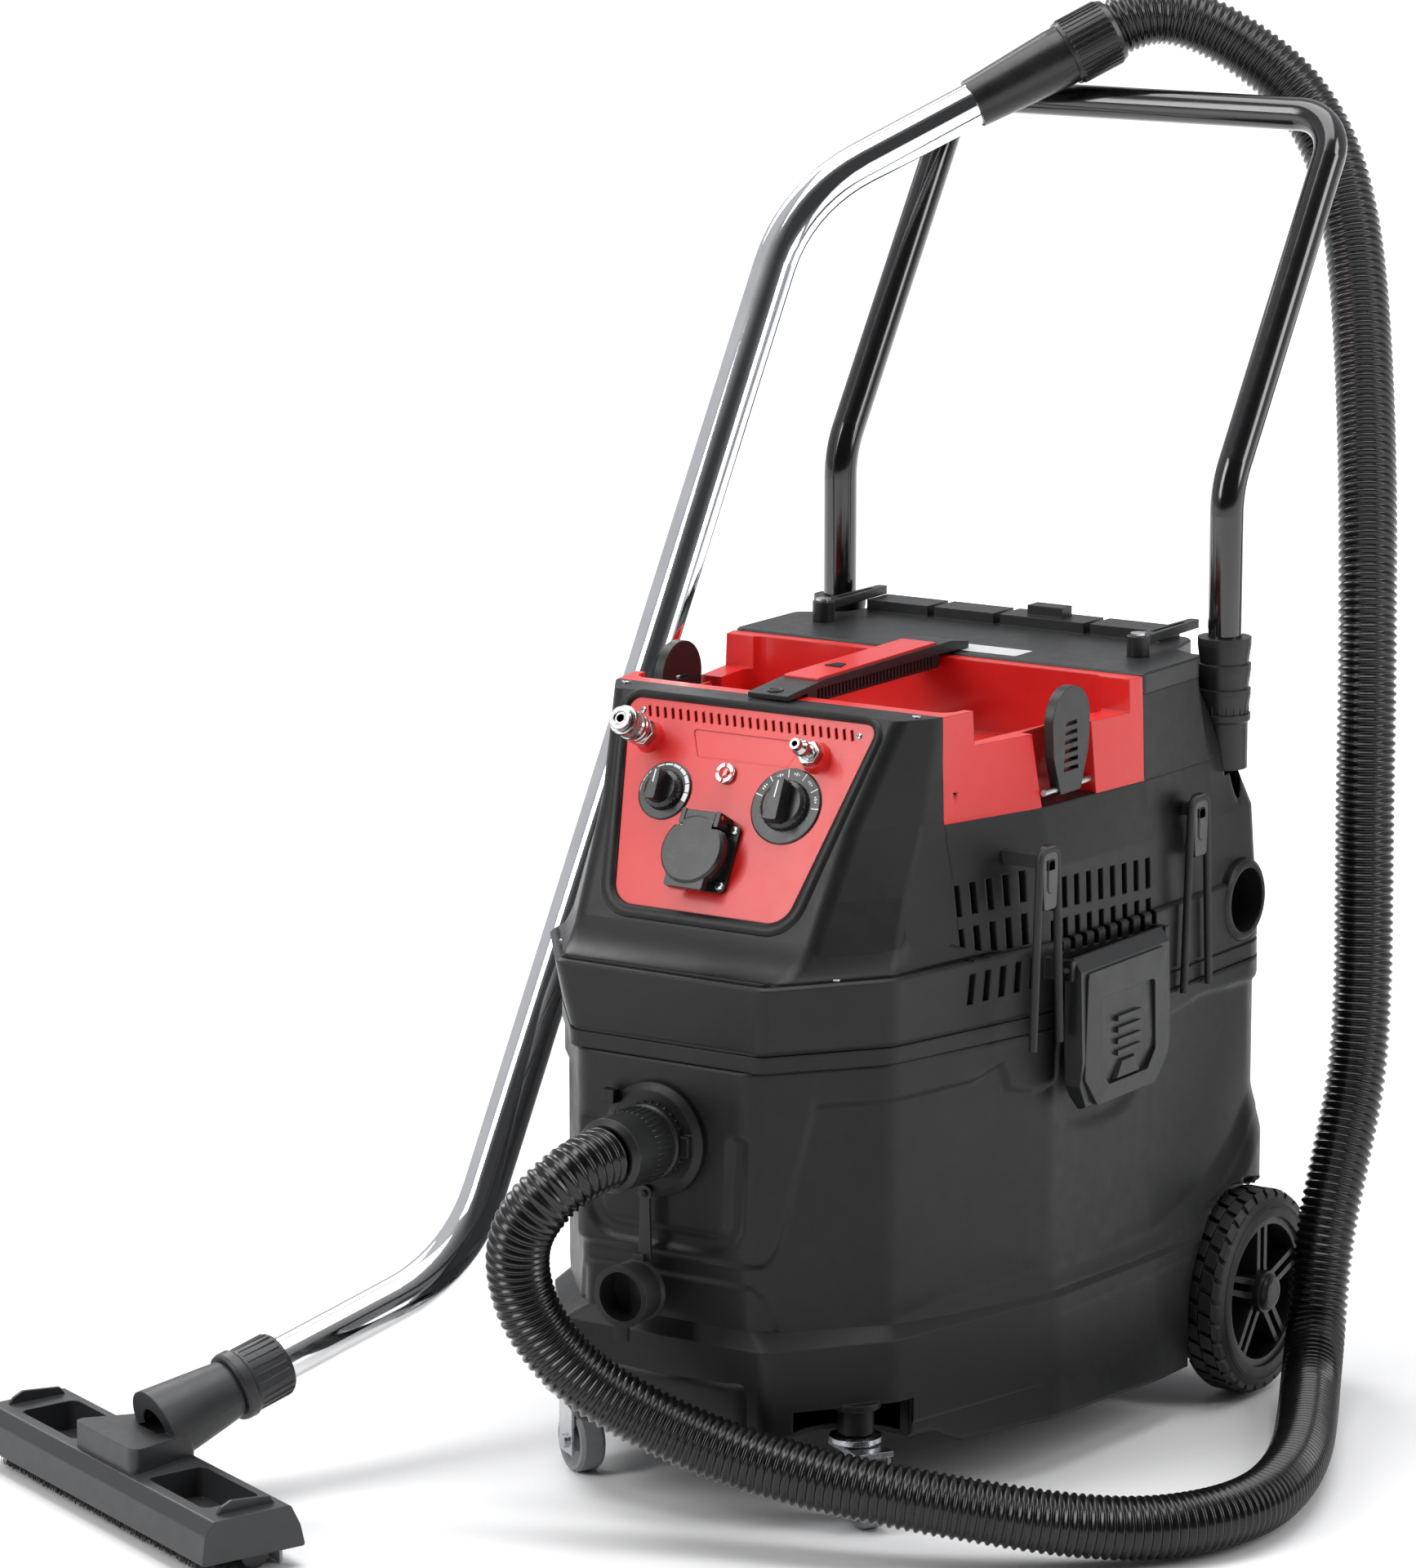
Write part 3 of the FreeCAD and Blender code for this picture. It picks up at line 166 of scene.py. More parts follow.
def moulded(name, colour, rough, grain, grain_scale, edge, highlight_strength, coat=0.0, tint=0.12, specular=0.5):
    """Moulded plastic or paint: grain, faint blotches of tint, edges softened by edge metres and lightened in patches
    by a painted edge highlight of strength lift.
    """
    g = Graph(name)
    cloud = g.noise(9.0, 4.0, 0.6)
    fine = g.noise(grain_scale, 2.0, 0.6)
    # Noise for the roughness variation and for the patches of the painted edge highlight.
    scuff_and_highlight = g.noise(70.0, 8.0, 0.72)
    dark = tuple(c * (1 - tint) for c in colour)
    light = tuple(min(1.0, c * (1 + tint) + 0.002) for c in colour)
    base = g.blend(g.ranged(cloud, 0.0, 1.0), dark, light)
    soft = g.soft_edges(edge)
    # Painted edge highlight: edges found by the bevel normal are lightened, in patches of the noise above.
    highlit_edge_colour = tuple(min(1.0, c * (1 + 1.5 * highlight_strength) + highlight_strength * 0.12) for c in colour)
    highlight_mask = g.add("ShaderNodeMath", operation="MULTIPLY")
    g.link(g.edge_mask(soft), highlight_mask.inputs[0])
    g.link(g.ranged(scuff_and_highlight, 0.0, 1.0, 0.35, 0.62), highlight_mask.inputs[1])
    g.put("Base Color", g.blend(highlight_mask.outputs["Value"], base, highlit_edge_colour))
    g.put("Roughness", g.ranged(scuff_and_highlight, rough - 0.05, rough + 0.07))
    g.put("Normal", g.bump(fine, grain, 0.00025, soft))
    g.put("Specular IOR Level", specular)
    if coat:
        g.put("Coat Weight", coat)
        g.put("Coat Roughness", 0.12)
    return g.mat


def metal(name, colour, rough, streak=0.0):
    """Bare or plated metal with fine streaks."""
    g = Graph(name)
    lines = g.noise(260.0, 5.0, 0.6)
    cloud = g.noise(18.0, 3.0)
    dark = tuple(c * 0.86 for c in colour)
    g.put("Base Color", g.blend(g.ranged(cloud, 0.0, 1.0), dark, colour))
    g.put("Metallic", 1.0)
    g.put("Roughness", g.ranged(lines, rough * 0.75, rough * 1.3))
    soft = g.soft_edges(0.0006)
    g.put("Normal", g.bump(lines, streak, 0.0001, soft) if streak else soft)
    return g.mat


def mats():
    """All materials by key. Numbers: roughness, grain, grain scale, edge radius in metres, painted edge highlight,
    coat, tint.
    """
    m = {}
    m["body"] = moulded("body_black", (0.006, 0.0062, 0.0066), 0.40, 0.22, 1700, 0.0022, 0.08, specular=0.3)
    m["deck"] = moulded("deck_dark", (0.011, 0.0115, 0.012), 0.38, 0.15, 2000, 0.001, 0.10, specular=0.4)
    m["smooth"] = moulded("smooth_black", (0.009, 0.009, 0.0095), 0.28, 0.06, 2200, 0.0008, 0.08)
    m["red"] = moulded("moulded_red", (0.6, 0.013, 0.011), 0.33, 0.05, 2200, 0.0015, 0.05, 0.18, 0.06)
    m["tool"] = moulded("tool_grey", (0.026, 0.027, 0.029), 0.42, 0.16, 1800, 0.0012, 0.14)
    m["rubber"] = moulded("soft_rubber", (0.008, 0.008, 0.008), 0.58, 0.1, 1500, 0.0007, 0.1)
    m["cap"] = moulded("cap_rubber", (0.016, 0.016, 0.0165), 0.5, 0.12, 1600, 0.0007, 0.2)
    m["tyre"] = moulded("tyre_black", (0.014, 0.014, 0.0145), 0.55, 0.3, 900, 0.0008, 0.3)
    m["rim"] = moulded("rim_black", (0.011, 0.011, 0.0115), 0.4, 0.1, 1800, 0.001, 0.14)
    m["caster"] = moulded("caster_grey", (0.19, 0.2, 0.21), 0.48, 0.1, 1200, 0.0008, 0.1)
    m["hose"] = moulded("hose_black", (0.003, 0.003, 0.0033), 0.24, 0.04, 2000, 0.0003, 0.02, 0.12,
                        specular=0.4)
    m["gloss"] = moulded("gloss_black_paint", (0.003, 0.003, 0.0033), 0.12, 0.02, 700, 0.0006, 0.01, 0.6)
    m["paper"] = moulded("filter_paper", (0.72, 0.69, 0.6), 0.85, 0.4, 900, 0.0006, 0.02)
    m["squeegee"] = moulded("squeegee_rubber", (0.42, 0.43, 0.45), 0.5, 0.1, 1400, 0.0004, 0.1)
    m["bristle"] = moulded("bristle_black", (0.014, 0.014, 0.014), 0.45, 0.2, 2500, 0.0002, 0.05)
    m["white"] = moulded("print_white", (0.8, 0.8, 0.79), 0.5, 0.02, 2000, 0.0002, 0.0)
    m["label"] = moulded("label_silver", (0.55, 0.56, 0.57), 0.36, 0.03, 900, 0.0002, 0.0)
    m["lens"] = moulded("lens_red", (0.55, 0.015, 0.012), 0.1, 0.01, 900, 0.0004, 0.0, 1.0)
    # Flat near-black laid as painted shade in screw recesses, well holes and grille slots.
    m["hollow"] = moulded("shadow_black", (0.006, 0.006, 0.006), 0.8, 0.05, 900, 0.0002, 0.0)
    m["chrome"] = metal("polished_chrome", (0.86, 0.87, 0.88), 0.055)
    m["nickel"] = metal("nickel_plate", (0.5, 0.5, 0.49), 0.17)
    m["zinc"] = metal("zinc_plate", (0.5, 0.52, 0.55), 0.26, 0.25)
    m["steel"] = metal("bright_steel", (0.6, 0.61, 0.62), 0.3, 0.3)
    m["brass"] = metal("bright_brass", (0.78, 0.55, 0.2), 0.25, 0.2)
    m["alloy"] = metal("cast_alloy", (0.62, 0.63, 0.64), 0.4, 0.4)
    return m


MAT = mats()
CARRIED = {
    "body": ["tank_shell", "inlet_flange", "head_shell", "front_frame", "rear_housing", "exhaust_port"],
    "deck": ["rear_deck", "cam_lever_left", "cam_lever_right", "carry_handle", "toolbox_clip_left",
             "toolbox_clip_right", "latch_left", "latch_right", "handle_sleeves", "hose_inlet_cuff"],
    "smooth": ["power_knob", "mode_knob", "knob_dials", "socket_body", "socket_lid", "hose_coupler", "float_cage",
               "control_electrics", "motor_plate"],
    "red": ["tool_tray", "control_panel", "carry_handle_cover", "float_ball"],
    "tool": ["floor_tool", "wand_collar", "tool_rollers"],
    "rubber": ["tank_seal", "tool_straps"], "cap": ["inlet_cap"],
    "tyre": ["wheel_tyre_left", "wheel_tyre_right"], "rim": ["wheel_rim_left", "wheel_rim_right", "rear_axle"],
    "caster": ["caster_wheel_left", "caster_wheel_right"], "gloss": ["push_handle"], "paper": ["filter_cartridge"],
    "squeegee": ["squeegee"], "bristle": ["brush_strip"], "lens": ["indicator_lamp"],
    "chrome": ["wand_tube"], "nickel": ["air_coupler", "air_coupler_sleeve", "air_plug"],
    "zinc": ["caster_fork_left", "caster_fork_right"],
    "steel": ["head_fasteners", "motor_can", "motor_bearings", "motor_rotor"],
    "brass": ["socket_brass"], "alloy": ["fan_impeller"], "hose": ["hose"],
}
for key, names in CARRIED.items():
    for name in names:
        mesh = NODES[name].data
        mesh.materials.clear()
        mesh.materials.append(MAT[key])


# ---------------------------------------------------------------- rounded CAD edges
def round_edges(node, width):
    """Real edge rounding on a carried-over part, by modifiers only."""
    obj = NODES[node]
    flat = obj.modifiers.new("planar", "DECIMATE")
    flat.decimate_type = "DISSOLVE"
    flat.angle_limit = math.radians(1.5)
    bevel = obj.modifiers.new("edge_round", "BEVEL")
    bevel.width = width
    bevel.segments = 3
    bevel.limit_method = "ANGLE"
    bevel.angle_limit = math.radians(32)
    bevel.use_clamp_overlap = True
    bevel.harden_normals = True


ROUNDED = {"front_frame": 0.006, "rear_housing": 0.003, "tool_tray": 0.0014, "rear_deck": 0.002, "carry_handle": 0.0015,
           "carry_handle_cover": 0.0012, "latch_left": 0.0009, "latch_right": 0.0009, "toolbox_clip_left": 0.0015,
           "toolbox_clip_right": 0.0015, "floor_tool": 0.002, "cam_lever_left": 0.0015, "cam_lever_right": 0.0015,
           "mode_knob": 0.0012, "power_knob": 0.001, "control_panel": 0.001, "socket_body": 0.0008,
           "socket_lid": 0.001}
for name, width in ROUNDED.items():
    round_edges(name, width)


# ---------------------------------------------------------------- mesh helpers
def piece(name, bm, mat, body, shade=True, angle=35):
    """Finished object from a bmesh: normals out, shaded smooth by angle, on its body."""
    bmesh.ops.remove_doubles(bm, verts=bm.verts, dist=1e-6)
    bmesh.ops.recalc_face_normals(bm, faces=bm.faces)
    mesh = bpy.data.meshes.new(name)
    bm.to_mesh(mesh)
    bm.free()
    mesh.materials.append(MAT[mat])
    obj = bpy.data.objects.new(name, mesh)
    bpy.context.scene.collection.objects.link(obj)
    if shade:
        for polygon in mesh.polygons:
            polygon.use_smooth = True
        mesh.set_sharp_from_angle(angle=math.radians(angle))
    if body:
        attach(obj, body)
    return obj


def lathe(bm, profile, place, segments=64):
    """Adds a turned form: profile of (radius, height) in mm, closed into a ring unless it reaches r = 0."""
    rings = []
    for radius, height in profile:
        if radius < 1e-6:
            rings.append([bm.verts.new(place @ Vector((0, 0, height / 1000)))] * segments)
            continue
        ring = []
        for i in range(segments):
            turn = 2 * math.pi * i / segments
            spot = Vector((radius * math.cos(turn), radius * math.sin(turn), height)) / 1000
            ring.append(bm.verts.new(place @ spot))
        rings.append(ring)
    closed = profile[0][0] > 1e-6 and profile[-1][0] > 1e-6
    pairs = list(zip(rings, rings[1:])) + ([(rings[-1], rings[0])] if closed else [])
    for low, high in pairs:
        for i in range(segments):
            j = (i + 1) % segments
            corners = list(dict.fromkeys((low[i], low[j], high[j], high[i])))
            if len(corners) > 2:
                bm.faces.new(corners)


def skin_rows(bm, rows, capped=True):
    """Joins equal closed rows of vertices one after another, with faces on the two ends."""
    for a, b in zip(rows, rows[1:]):
        for i in range(len(a)):
            j = (i + 1) % len(a)
            bm.faces.new((a[i], a[j], b[j], b[i]))
    if capped:
        bm.faces.new(list(reversed(rows[0])))
        bm.faces.new(rows[-1])


def prism(bm, points, place, low, high, bevel=0.0):
    """Adds a straight prism from a flat outline in mm between two heights, with chamfered top edge."""
    centre = Vector((sum(p[0] for p in points) / len(points), sum(p[1] for p in points) / len(points)))
    levels = [(low, 0.0), (high - bevel, 0.0)] + ([(high, bevel)] if bevel else [])
    rings = []
    for level, shrink in levels:
        ring = []
        for p in points:
            away = Vector(p) - centre
            scale = max(0.0, 1 - shrink / max(away.length, 1e-6))
            q = centre + away * scale
            ring.append(bm.verts.new(place @ Vector((q.x / 1000, q.y / 1000, level / 1000))))
        rings.append(ring)
    skin_rows(bm, rings)


def rounded(width, depth, radius, steps=4, cx=0.0, cy=0.0):
    """Rounded rectangle outline in mm."""
    points = []
    for sx, sy, first in ((1, 1, 0), (-1, 1, 90), (-1, -1, 180), (1, -1, 270)):
        for i in range(steps + 1):
            turn = math.radians(first + 90 * i / steps)
            points.append((cx + sx * (width / 2 - radius) + radius * math.cos(turn),
                           cy + sy * (depth / 2 - radius) + radius * math.sin(turn)))
    return points


def rounded_loop(corners, radii, steps=7):
    """Closed outline in mm with a rounded corner at each point."""
    points, total = [], len(corners)
    for i, (corner, radius) in enumerate(zip(corners, radii)):
        here = Vector(corner)
        before = (Vector(corners[i - 1]) - here).normalized()
        after = (Vector(corners[(i + 1) % total]) - here).normalized()
        half = before.angle(after) / 2
        reach = radius / math.tan(half)
        centre = here + (before + after).normalized() * (radius / math.sin(half))
        a, b = here + before * reach - centre, here + after * reach - centre
        for k in range(steps + 1):
            points.append(centre + a.lerp(b, k / steps).normalized() * radius)
    return points


def spread(line, step):
    """Places at equal steps of about step along a polyline, both ends included, and its length."""
    lengths = [0.0]
    for a, b in zip(line, line[1:]):
        lengths.append(lengths[-1] + (b - a).length)
    count = max(2, round(lengths[-1] / step))
    places, index = [], 0
    for i in range(count + 1):
        target = lengths[-1] * i / count
        while index < len(line) - 2 and lengths[index + 1] < target:
            index += 1
        span = max(lengths[index + 1] - lengths[index], 1e-9)
        places.append(line[index].lerp(line[index + 1], (target - lengths[index]) / span))
    return places, lengths[-1]


# ---------------------------------------------------------------- hose
HOSE_ROUTE = [
    (-6, -130, 292), (-9, -157, 290), (-24, -181, 272), (-44, -187, 243), (-52, -181, 208), (-43, -172, 168),
    (-14, -154, 126), (35, -129, 94), (92, -109, 73), (156, -93, 61), (215, -74, 53), (268, -47, 44),
    (318, -14, 34), (363, 26, 27), (396, 76, 26), (405, 138, 25), (392, 206, 25.5), (366, 276, 25),
    (330, 352, 26), (297, 418, 29), (277, 462, 52), (270, 481, 92), (270, 492, 142), (269, 518, 196),
    (267, 546, 252), (262, 562, 325), (257, 570, 400), (254, 574, 478), (251, 580, 556), (243, 593, 636),
    (225, 624, 716), (201, 662, 790), (178, 694, 860), (157, 716, 920), (132, 728, 976), (98, 731, 1021),
    (57, 722, 1053), (17, 703, 1077), (-17.4, 678.3, 1083), (-36.4, 659.5, 1069.6),
]


def spline_points(route):
    """Points along the route's NURBS spline."""
    curve = bpy.data.curves.new("hose_line", "CURVE")
    curve.dimensions = "3D"
    curve.resolution_u = 16
    spline = curve.splines.new("NURBS")
    spline.points.add(len(route) - 1)
    for point, place in zip(spline.points, route):
        point.co = (*at(*place), 1.0)
    spline.order_u = 3
    spline.use_endpoint_u = True
    holder = bpy.data.objects.new("hose_line", curve)
    bpy.context.scene.collection.objects.link(holder)
    bpy.context.view_layer.update()
    mesh = bpy.data.meshes.new_from_object(holder)
    points = [v.co.copy() for v in mesh.vertices]
    bpy.data.objects.remove(holder)
    bpy.data.curves.remove(curve)
    bpy.data.meshes.remove(mesh)
    return points


def resampled(points, step):
    """Places at equal steps along a polyline, with unit tangents, and its length."""
    places, length = spread(points, step)
    last = len(places) - 1
    tangents = [(places[min(i + 1, last)] - places[max(i - 1, 0)]).normalized() for i in range(last + 1)]
    return places, tangents, length


def make_hose():
    """Corrugated hose from the inlet cuff to the coupler on the wand."""
    line = spline_points(HOSE_ROUTE)
    pitch, per_ring, around = 0.0066, 6, 40
    places, tangents, length = resampled(line, pitch / per_ring)
    profile = [0.0216, 0.0220, 0.0236, 0.0240, 0.0236, 0.0220]
    bm = bmesh.new()
    side = tangents[0].orthogonal().normalized()
    rings = []
    for i, (place, tangent) in enumerate(zip(places, tangents)):
        side = (side - tangent * side.dot(tangent)).normalized()
        other = tangent.cross(side)
        radius = profile[i % per_ring]
        rings.append([bm.verts.new(place + (side * math.cos(2 * math.pi * k / around)
                                            + other * math.sin(2 * math.pi * k / around)) * radius)
                      for k in range(around)])
    skin_rows(bm, rings)
    hose = piece("corrugated_hose", bm, "hose", None, angle=60)
    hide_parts("hose")
    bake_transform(hose)


make_hose()


# ---------------------------------------------------------------- panel details
def arc_band(bm, place, inner, outer, start, stop, low, high, steps=8):
    """Adds a raised piece of a ring between two angles."""
    rows = []
    for i in range(steps + 1):
        turn = math.radians(start + (stop - start) * i / steps)
        row = []
        for radius, level in ((inner, low), (outer, low), (outer, high), (inner, high)):
            row.append(bm.verts.new(place @ Vector((radius * math.cos(turn) / 1000, radius * math.sin(turn) / 1000,
                                                    level / 1000))))
        rows.append(row)
    skin_rows(bm, rows)


def cross_screw(bm_head, bm_slot, place, radius, height):
    """Adds a pan head, and a dark cross prism of painted shade standing in for its cross recess."""
    lathe(bm_head, [(0, 0), (radius, 0), (radius, height * 0.45), (radius * 0.8, height * 0.9),
                    (radius * 0.45, height), (0, height)], place, 28)
    arm, half = radius * 0.62, radius * 0.15
    cross = [(arm, -half), (arm, half), (half, half), (half, arm), (-half, arm), (-half, half), (-arm, half),
             (-arm, -half), (-half, -half), (-half, -arm), (half, -arm), (half, -half)]
    # Dark cross of painted shade where the recess is; the head is not cut.
    prism(bm_slot, cross, place, height * 0.3, height * 1.03)


def make_dial_marks(left, right):
    """Growing wedges round the power dial, ticks and small marks round the mode dial."""
    low, high, wedges, modes = 1.4, 1.72, 10, 6
    marks = bmesh.new()
    for i in range(wedges):
        start, width = 188 - 21 * i, 0.4 + 3.6 * (i / (wedges - 1)) ** 1.3
        arc_band(marks, left, 21.6 - width, 21.6, start, start - 18.5, low, high, 5)
    for i in range(modes):
        turn = 166 - 33 * i
        arc_band(marks, right, 22.5, 29.0, turn - 0.9, turn + 0.9, low, high, 1)
        for step, reach in ((-21, 1.5), (-16.5, 2.4), (-12, 1.5)) if i < modes - 1 else ():
            arc_band(marks, right, 25.6 - reach / 2, 25.6 + reach / 2, turn + step - 1.2, turn + step + 1.2,
                     low, 1.7, 2)
    piece("dial_marks", marks, "white", "head", shade=False)


def make_knob_details(name, place, grip):
    """White pointer and grip ribs on a knob of that grip radius."""
    bm = bmesh.new()
    prism(bm, rounded(1.1, grip * 0.8, 0.5, 3, 0, grip * 0.45), place, 18.9, 20.15)
    piece(name + "_pointer", bm, "white", name + "_knob")
    bm = bmesh.new()
    ribs = 28
    for k in range(ribs):
        spin = Matrix.Rotation(2 * math.pi * k / ribs, 4, "Z")
        spot = place @ spin @ Matrix.Translation(((grip + 2.1) / 1000, 0, 0))
        prism(bm, rounded(1.2, 1.4, 0.4, 2), spot, 2.2, 6.3, 0.3)
    piece(name + "_knob_ribs", bm, "smooth", name + "_knob")


def hexagon(radius, turn):
    return [(radius * math.cos(math.radians(60 * k + turn)), radius * math.sin(math.radians(60 * k + turn)))
            for k in range(6)]


def make_panel_details():
    """Everything small on the control panel, and the screws of the head."""
    left = basis(on_panel(-58, 7, PANEL_THICK), PANEL_OUT, X)
    right = basis(on_panel(51, 7, PANEL_THICK), PANEL_OUT, X)
    make_dial_marks(left, right)
    make_knob_details("power", left, 13)
    make_knob_details("mode", right, 17)
    lamp = basis(on_panel(-8, 26, PANEL_THICK), PANEL_OUT, X)
    nut = bmesh.new()
    lathe(nut, [(4.7, 0.2), (8.0, 0.2), (8.0, 2.3), (7.6, 2.8), (4.7, 2.8)], lamp, 48)
    for k in range(4):
        arc_band(nut, lamp, 4.8, 7.7, 90 * k + 10, 90 * k + 80, 2.7, 4.3, 10)
    piece("lamp_nut", nut, "nickel", "head")
    heads, slots = bmesh.new(), bmesh.new()
    for across, up in ((1, 1), (1, -1), (-1, 1), (-1, -1)):
        flange = on_panel(-8 + 22.5 * across, -40 + 22 * up, PANEL_THICK + 4.1)
        cross_screw(heads, slots, basis(flange, PANEL_OUT, X), 3.4, 1.9)
    for across in (-97, 97):
        cross_screw(heads, slots, basis(on_panel(across, 68, PANEL_THICK + 0.05), PANEL_OUT, X), 2.6, 1.0)
    for side in SIDES.values():
        cross_screw(heads, slots, basis(at(side * 131, 84, TOP + 0.1), Z), 3.6, 1.9)
        cross_screw(heads, slots, basis(at(side * 122.6, -14.5, LEDGE + 0.1), Z), 3.6, 1.9)
    piece("screw_heads", heads, "zinc", "head")
    # Painted shade of the cross recesses.
    piece("screw_recess_shade", slots, "hollow", "head", shade=False)
    boss = PANEL_THICK + 8.5
    mouth = basis(on_panel(-84, 47, boss), PANEL_OUT, X)
    nuts = bmesh.new()
    prism(nuts, hexagon(11.2, 0), mouth, 0.1, 7.4, 0.6)
    prism(nuts, hexagon(9.9, 12), basis(on_panel(66, 47, boss), PANEL_OUT, X), 0.1, 6.5, 0.6)
    lathe(nuts, [(5.0, 34), (7.9, 34), (9.4, 35), (9.4, 38.6), (8.8, 39.4), (5.6, 39.4), (5.0, 38.8)], mouth, 48)
    piece("air_nuts", nuts, "nickel", "head")
    knurl, around = bmesh.new(), 44
    for k in range(around):
        for row in range(4):
            spin = Matrix.Rotation(2 * math.pi * (k + 0.5 * (row % 2)) / around, 4, "Z")
            spot = mouth @ spin @ Matrix.Translation((0.01062, 0, 0.0235 + 0.0016 * row))
            prism(knurl, [(0.42, 0), (0, 0.55), (-0.42, 0), (0, -0.55)], spot, 0.0, 1.25)
    piece("coupler_knurl", knurl, "nickel", "air_sleeve", shade=False)


# ---------------------------------------------------------------- wheels
def tread_block(bm, spot, width, levels, first):
    """One block of the tread, leaning along the tyre, between two levels across it."""
    span, lean, reach, crown, root = 8.64, 2.6, 83.0, 0.09, 5.0
    corners = []
    for level, shift in ((levels[0], 0.0), (levels[1], lean)):
        edge = max(0.0, abs(level - width / 2) - (width / 2 - 8))
        for turn in (first + shift, first + shift + span):
            corners.append((math.radians(turn), level, reach - crown * edge ** 2))
    lower, upper = [], []
    for turn, level, top in (corners[0], corners[1], corners[3], corners[2]):
        for ring, radius in ((lower, top - root), (upper, top)):
            place = Vector((radius * math.cos(turn), radius * math.sin(turn), level)) / 1000
            ring.append(bm.verts.new(spot @ place))
    skin_rows(bm, [lower, upper])


def make_tyres():
    """Rear tyres with staggered blocks in place of the plain rings, and the ring round each hub."""
    low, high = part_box("wheel_tyre_right")
    width = (high[0] - low[0]) * 1000
    start_x = (low[0] - ORIGIN_X) * 1000
    rim, blocks = 61.0, 30
    rows = [(2.4, 7.4), (8.2, width / 2 - 0.6), (width / 2 + 0.6, width - 8.2), (width - 7.4, width - 2.4)]
    for name, side in SIDES.items():
        spot = basis(at(side * start_x, HUB_Y, HUB_Z), X * side, Y)
        bm = bmesh.new()
        base = [(rim, 0.4), (66, 0), (72, 0.6), (76.5, 2.6), (79.6, 7), (80.2, width / 2), (79.6, width - 7),
                (76.5, width - 2.6), (72, width - 0.6), (66, width), (rim, width - 0.4)]
        lathe(bm, base, spot, 120)
        for k in range(blocks):
            for row, levels in enumerate(rows):
                tread_block(bm, spot, width, levels, 360.0 * (k + (0.5 if row % 2 else 0.0)) / blocks)
        for radius in (68.5, 71.0):
            for level, away in ((0.2, -1), (width - 0.2, 1)):
                lathe(bm, [(radius - 0.5, level), (radius, level + away * 0.5), (radius + 0.5, level)], spot, 90)
        tyre = piece("treaded_tyre_" + name, bm, "tyre", "rear_wheel_" + name, angle=40)
        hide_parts("wheel_tyre_" + name)
        bm = bmesh.new()
        lathe(bm, [(6.0, width - 0.5), (15.6, width - 0.5), (15.0, width + 0.6), (12.4, width + 1.1),
                   (12.0, width + 0.4), (6.0, width + 0.4)], spot, 64)
        piece("rim_ribs_" + name, bm, "rim", "rear_wheel_" + name)


# ---------------------------------------------------------------- floor tool
TOOL_YAW = math.radians(-23.5)


def tool_place():
    return Matrix.Translation(at(-333, -280, 0)) @ Matrix.Rotation(TOOL_YAW, 4, "Z")


def make_bristles():
    """Nylon tufts in place of the plain strip, with the carrier they sit in."""
    spot = tool_place()
    bm = bmesh.new()
    columns, rows, length = 150, 5, 326
    for column in range(columns):
        for row in range(rows):
            x = -length / 2 + length * (column + random.random() * 0.8) / columns
            y = -31.6 + 7.4 * row / (rows - 1) + random.uniform(-0.6, 0.6)
            lean_x, lean_y = random.gauss(0, 1.6), random.gauss(-1.2, 1.2)
            foot = 1.2 + abs(random.gauss(0, 0.9))
            radius = random.uniform(0.45, 0.75)
            top, bottom = [], []
            for k in range(4):
                turn = math.pi / 2 * k + 0.6 * row
                dx, dy = radius * math.cos(turn), radius * math.sin(turn)
                top.append(bm.verts.new(spot @ Vector(((x + dx) / 1000, (y + dy) / 1000, 0.0168))))
                px = min(164.6, max(-164.6, x + lean_x + dx * 0.7))
                py = min(-22.8, max(-33.4, y + lean_y + dy * 0.7))
                bottom.append(bm.verts.new(spot @ Vector((px / 1000, py / 1000, foot / 1000))))
            skin_rows(bm, [bottom, top])
    prism(bm, rounded(330, 10.6, 1.5, 3, 0, -28), spot, 14.5, 19.4)
    strip = piece("nylon_bristles", bm, "bristle", "floor_tool", shade=False)
    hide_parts("brush_strip")


WAND_FOOT, WAND_LOW = at(-293, -198, 90), (at(-217, -20, 151.6) - at(-293, -198, 90)).normalized()
WAND_END, WAND_UP = at(-45, 651, 1063.5), (at(-45, 651, 1063.5) - at(-225, 473, 936)).normalized()


def ribbed(name, body, mat, place, radius, low, high, count, width, height):
    """Straight grip ribs round a sleeve, between two heights in mm along it."""
    bm = bmesh.new()
    for k in range(count):
        spin = place @ Matrix.Rotation(2 * math.pi * k / count, 4, "Z") @ Matrix.Translation((radius / 1000, 0, 0))
        rows = []
        for level, out in ((low, 0.0), (low + 1.5, height), (high - 1.5, height), (high, 0.0)):
            section = ((-width / 2, -0.6), (-width / 4, out), (width / 4, out), (width / 2, -0.6))
            rows.append([bm.verts.new(spin @ Vector((rise / 1000, across / 1000, level / 1000)))
                         for across, rise in section])
        skin_rows(bm, rows)
    piece(name, bm, mat, body)


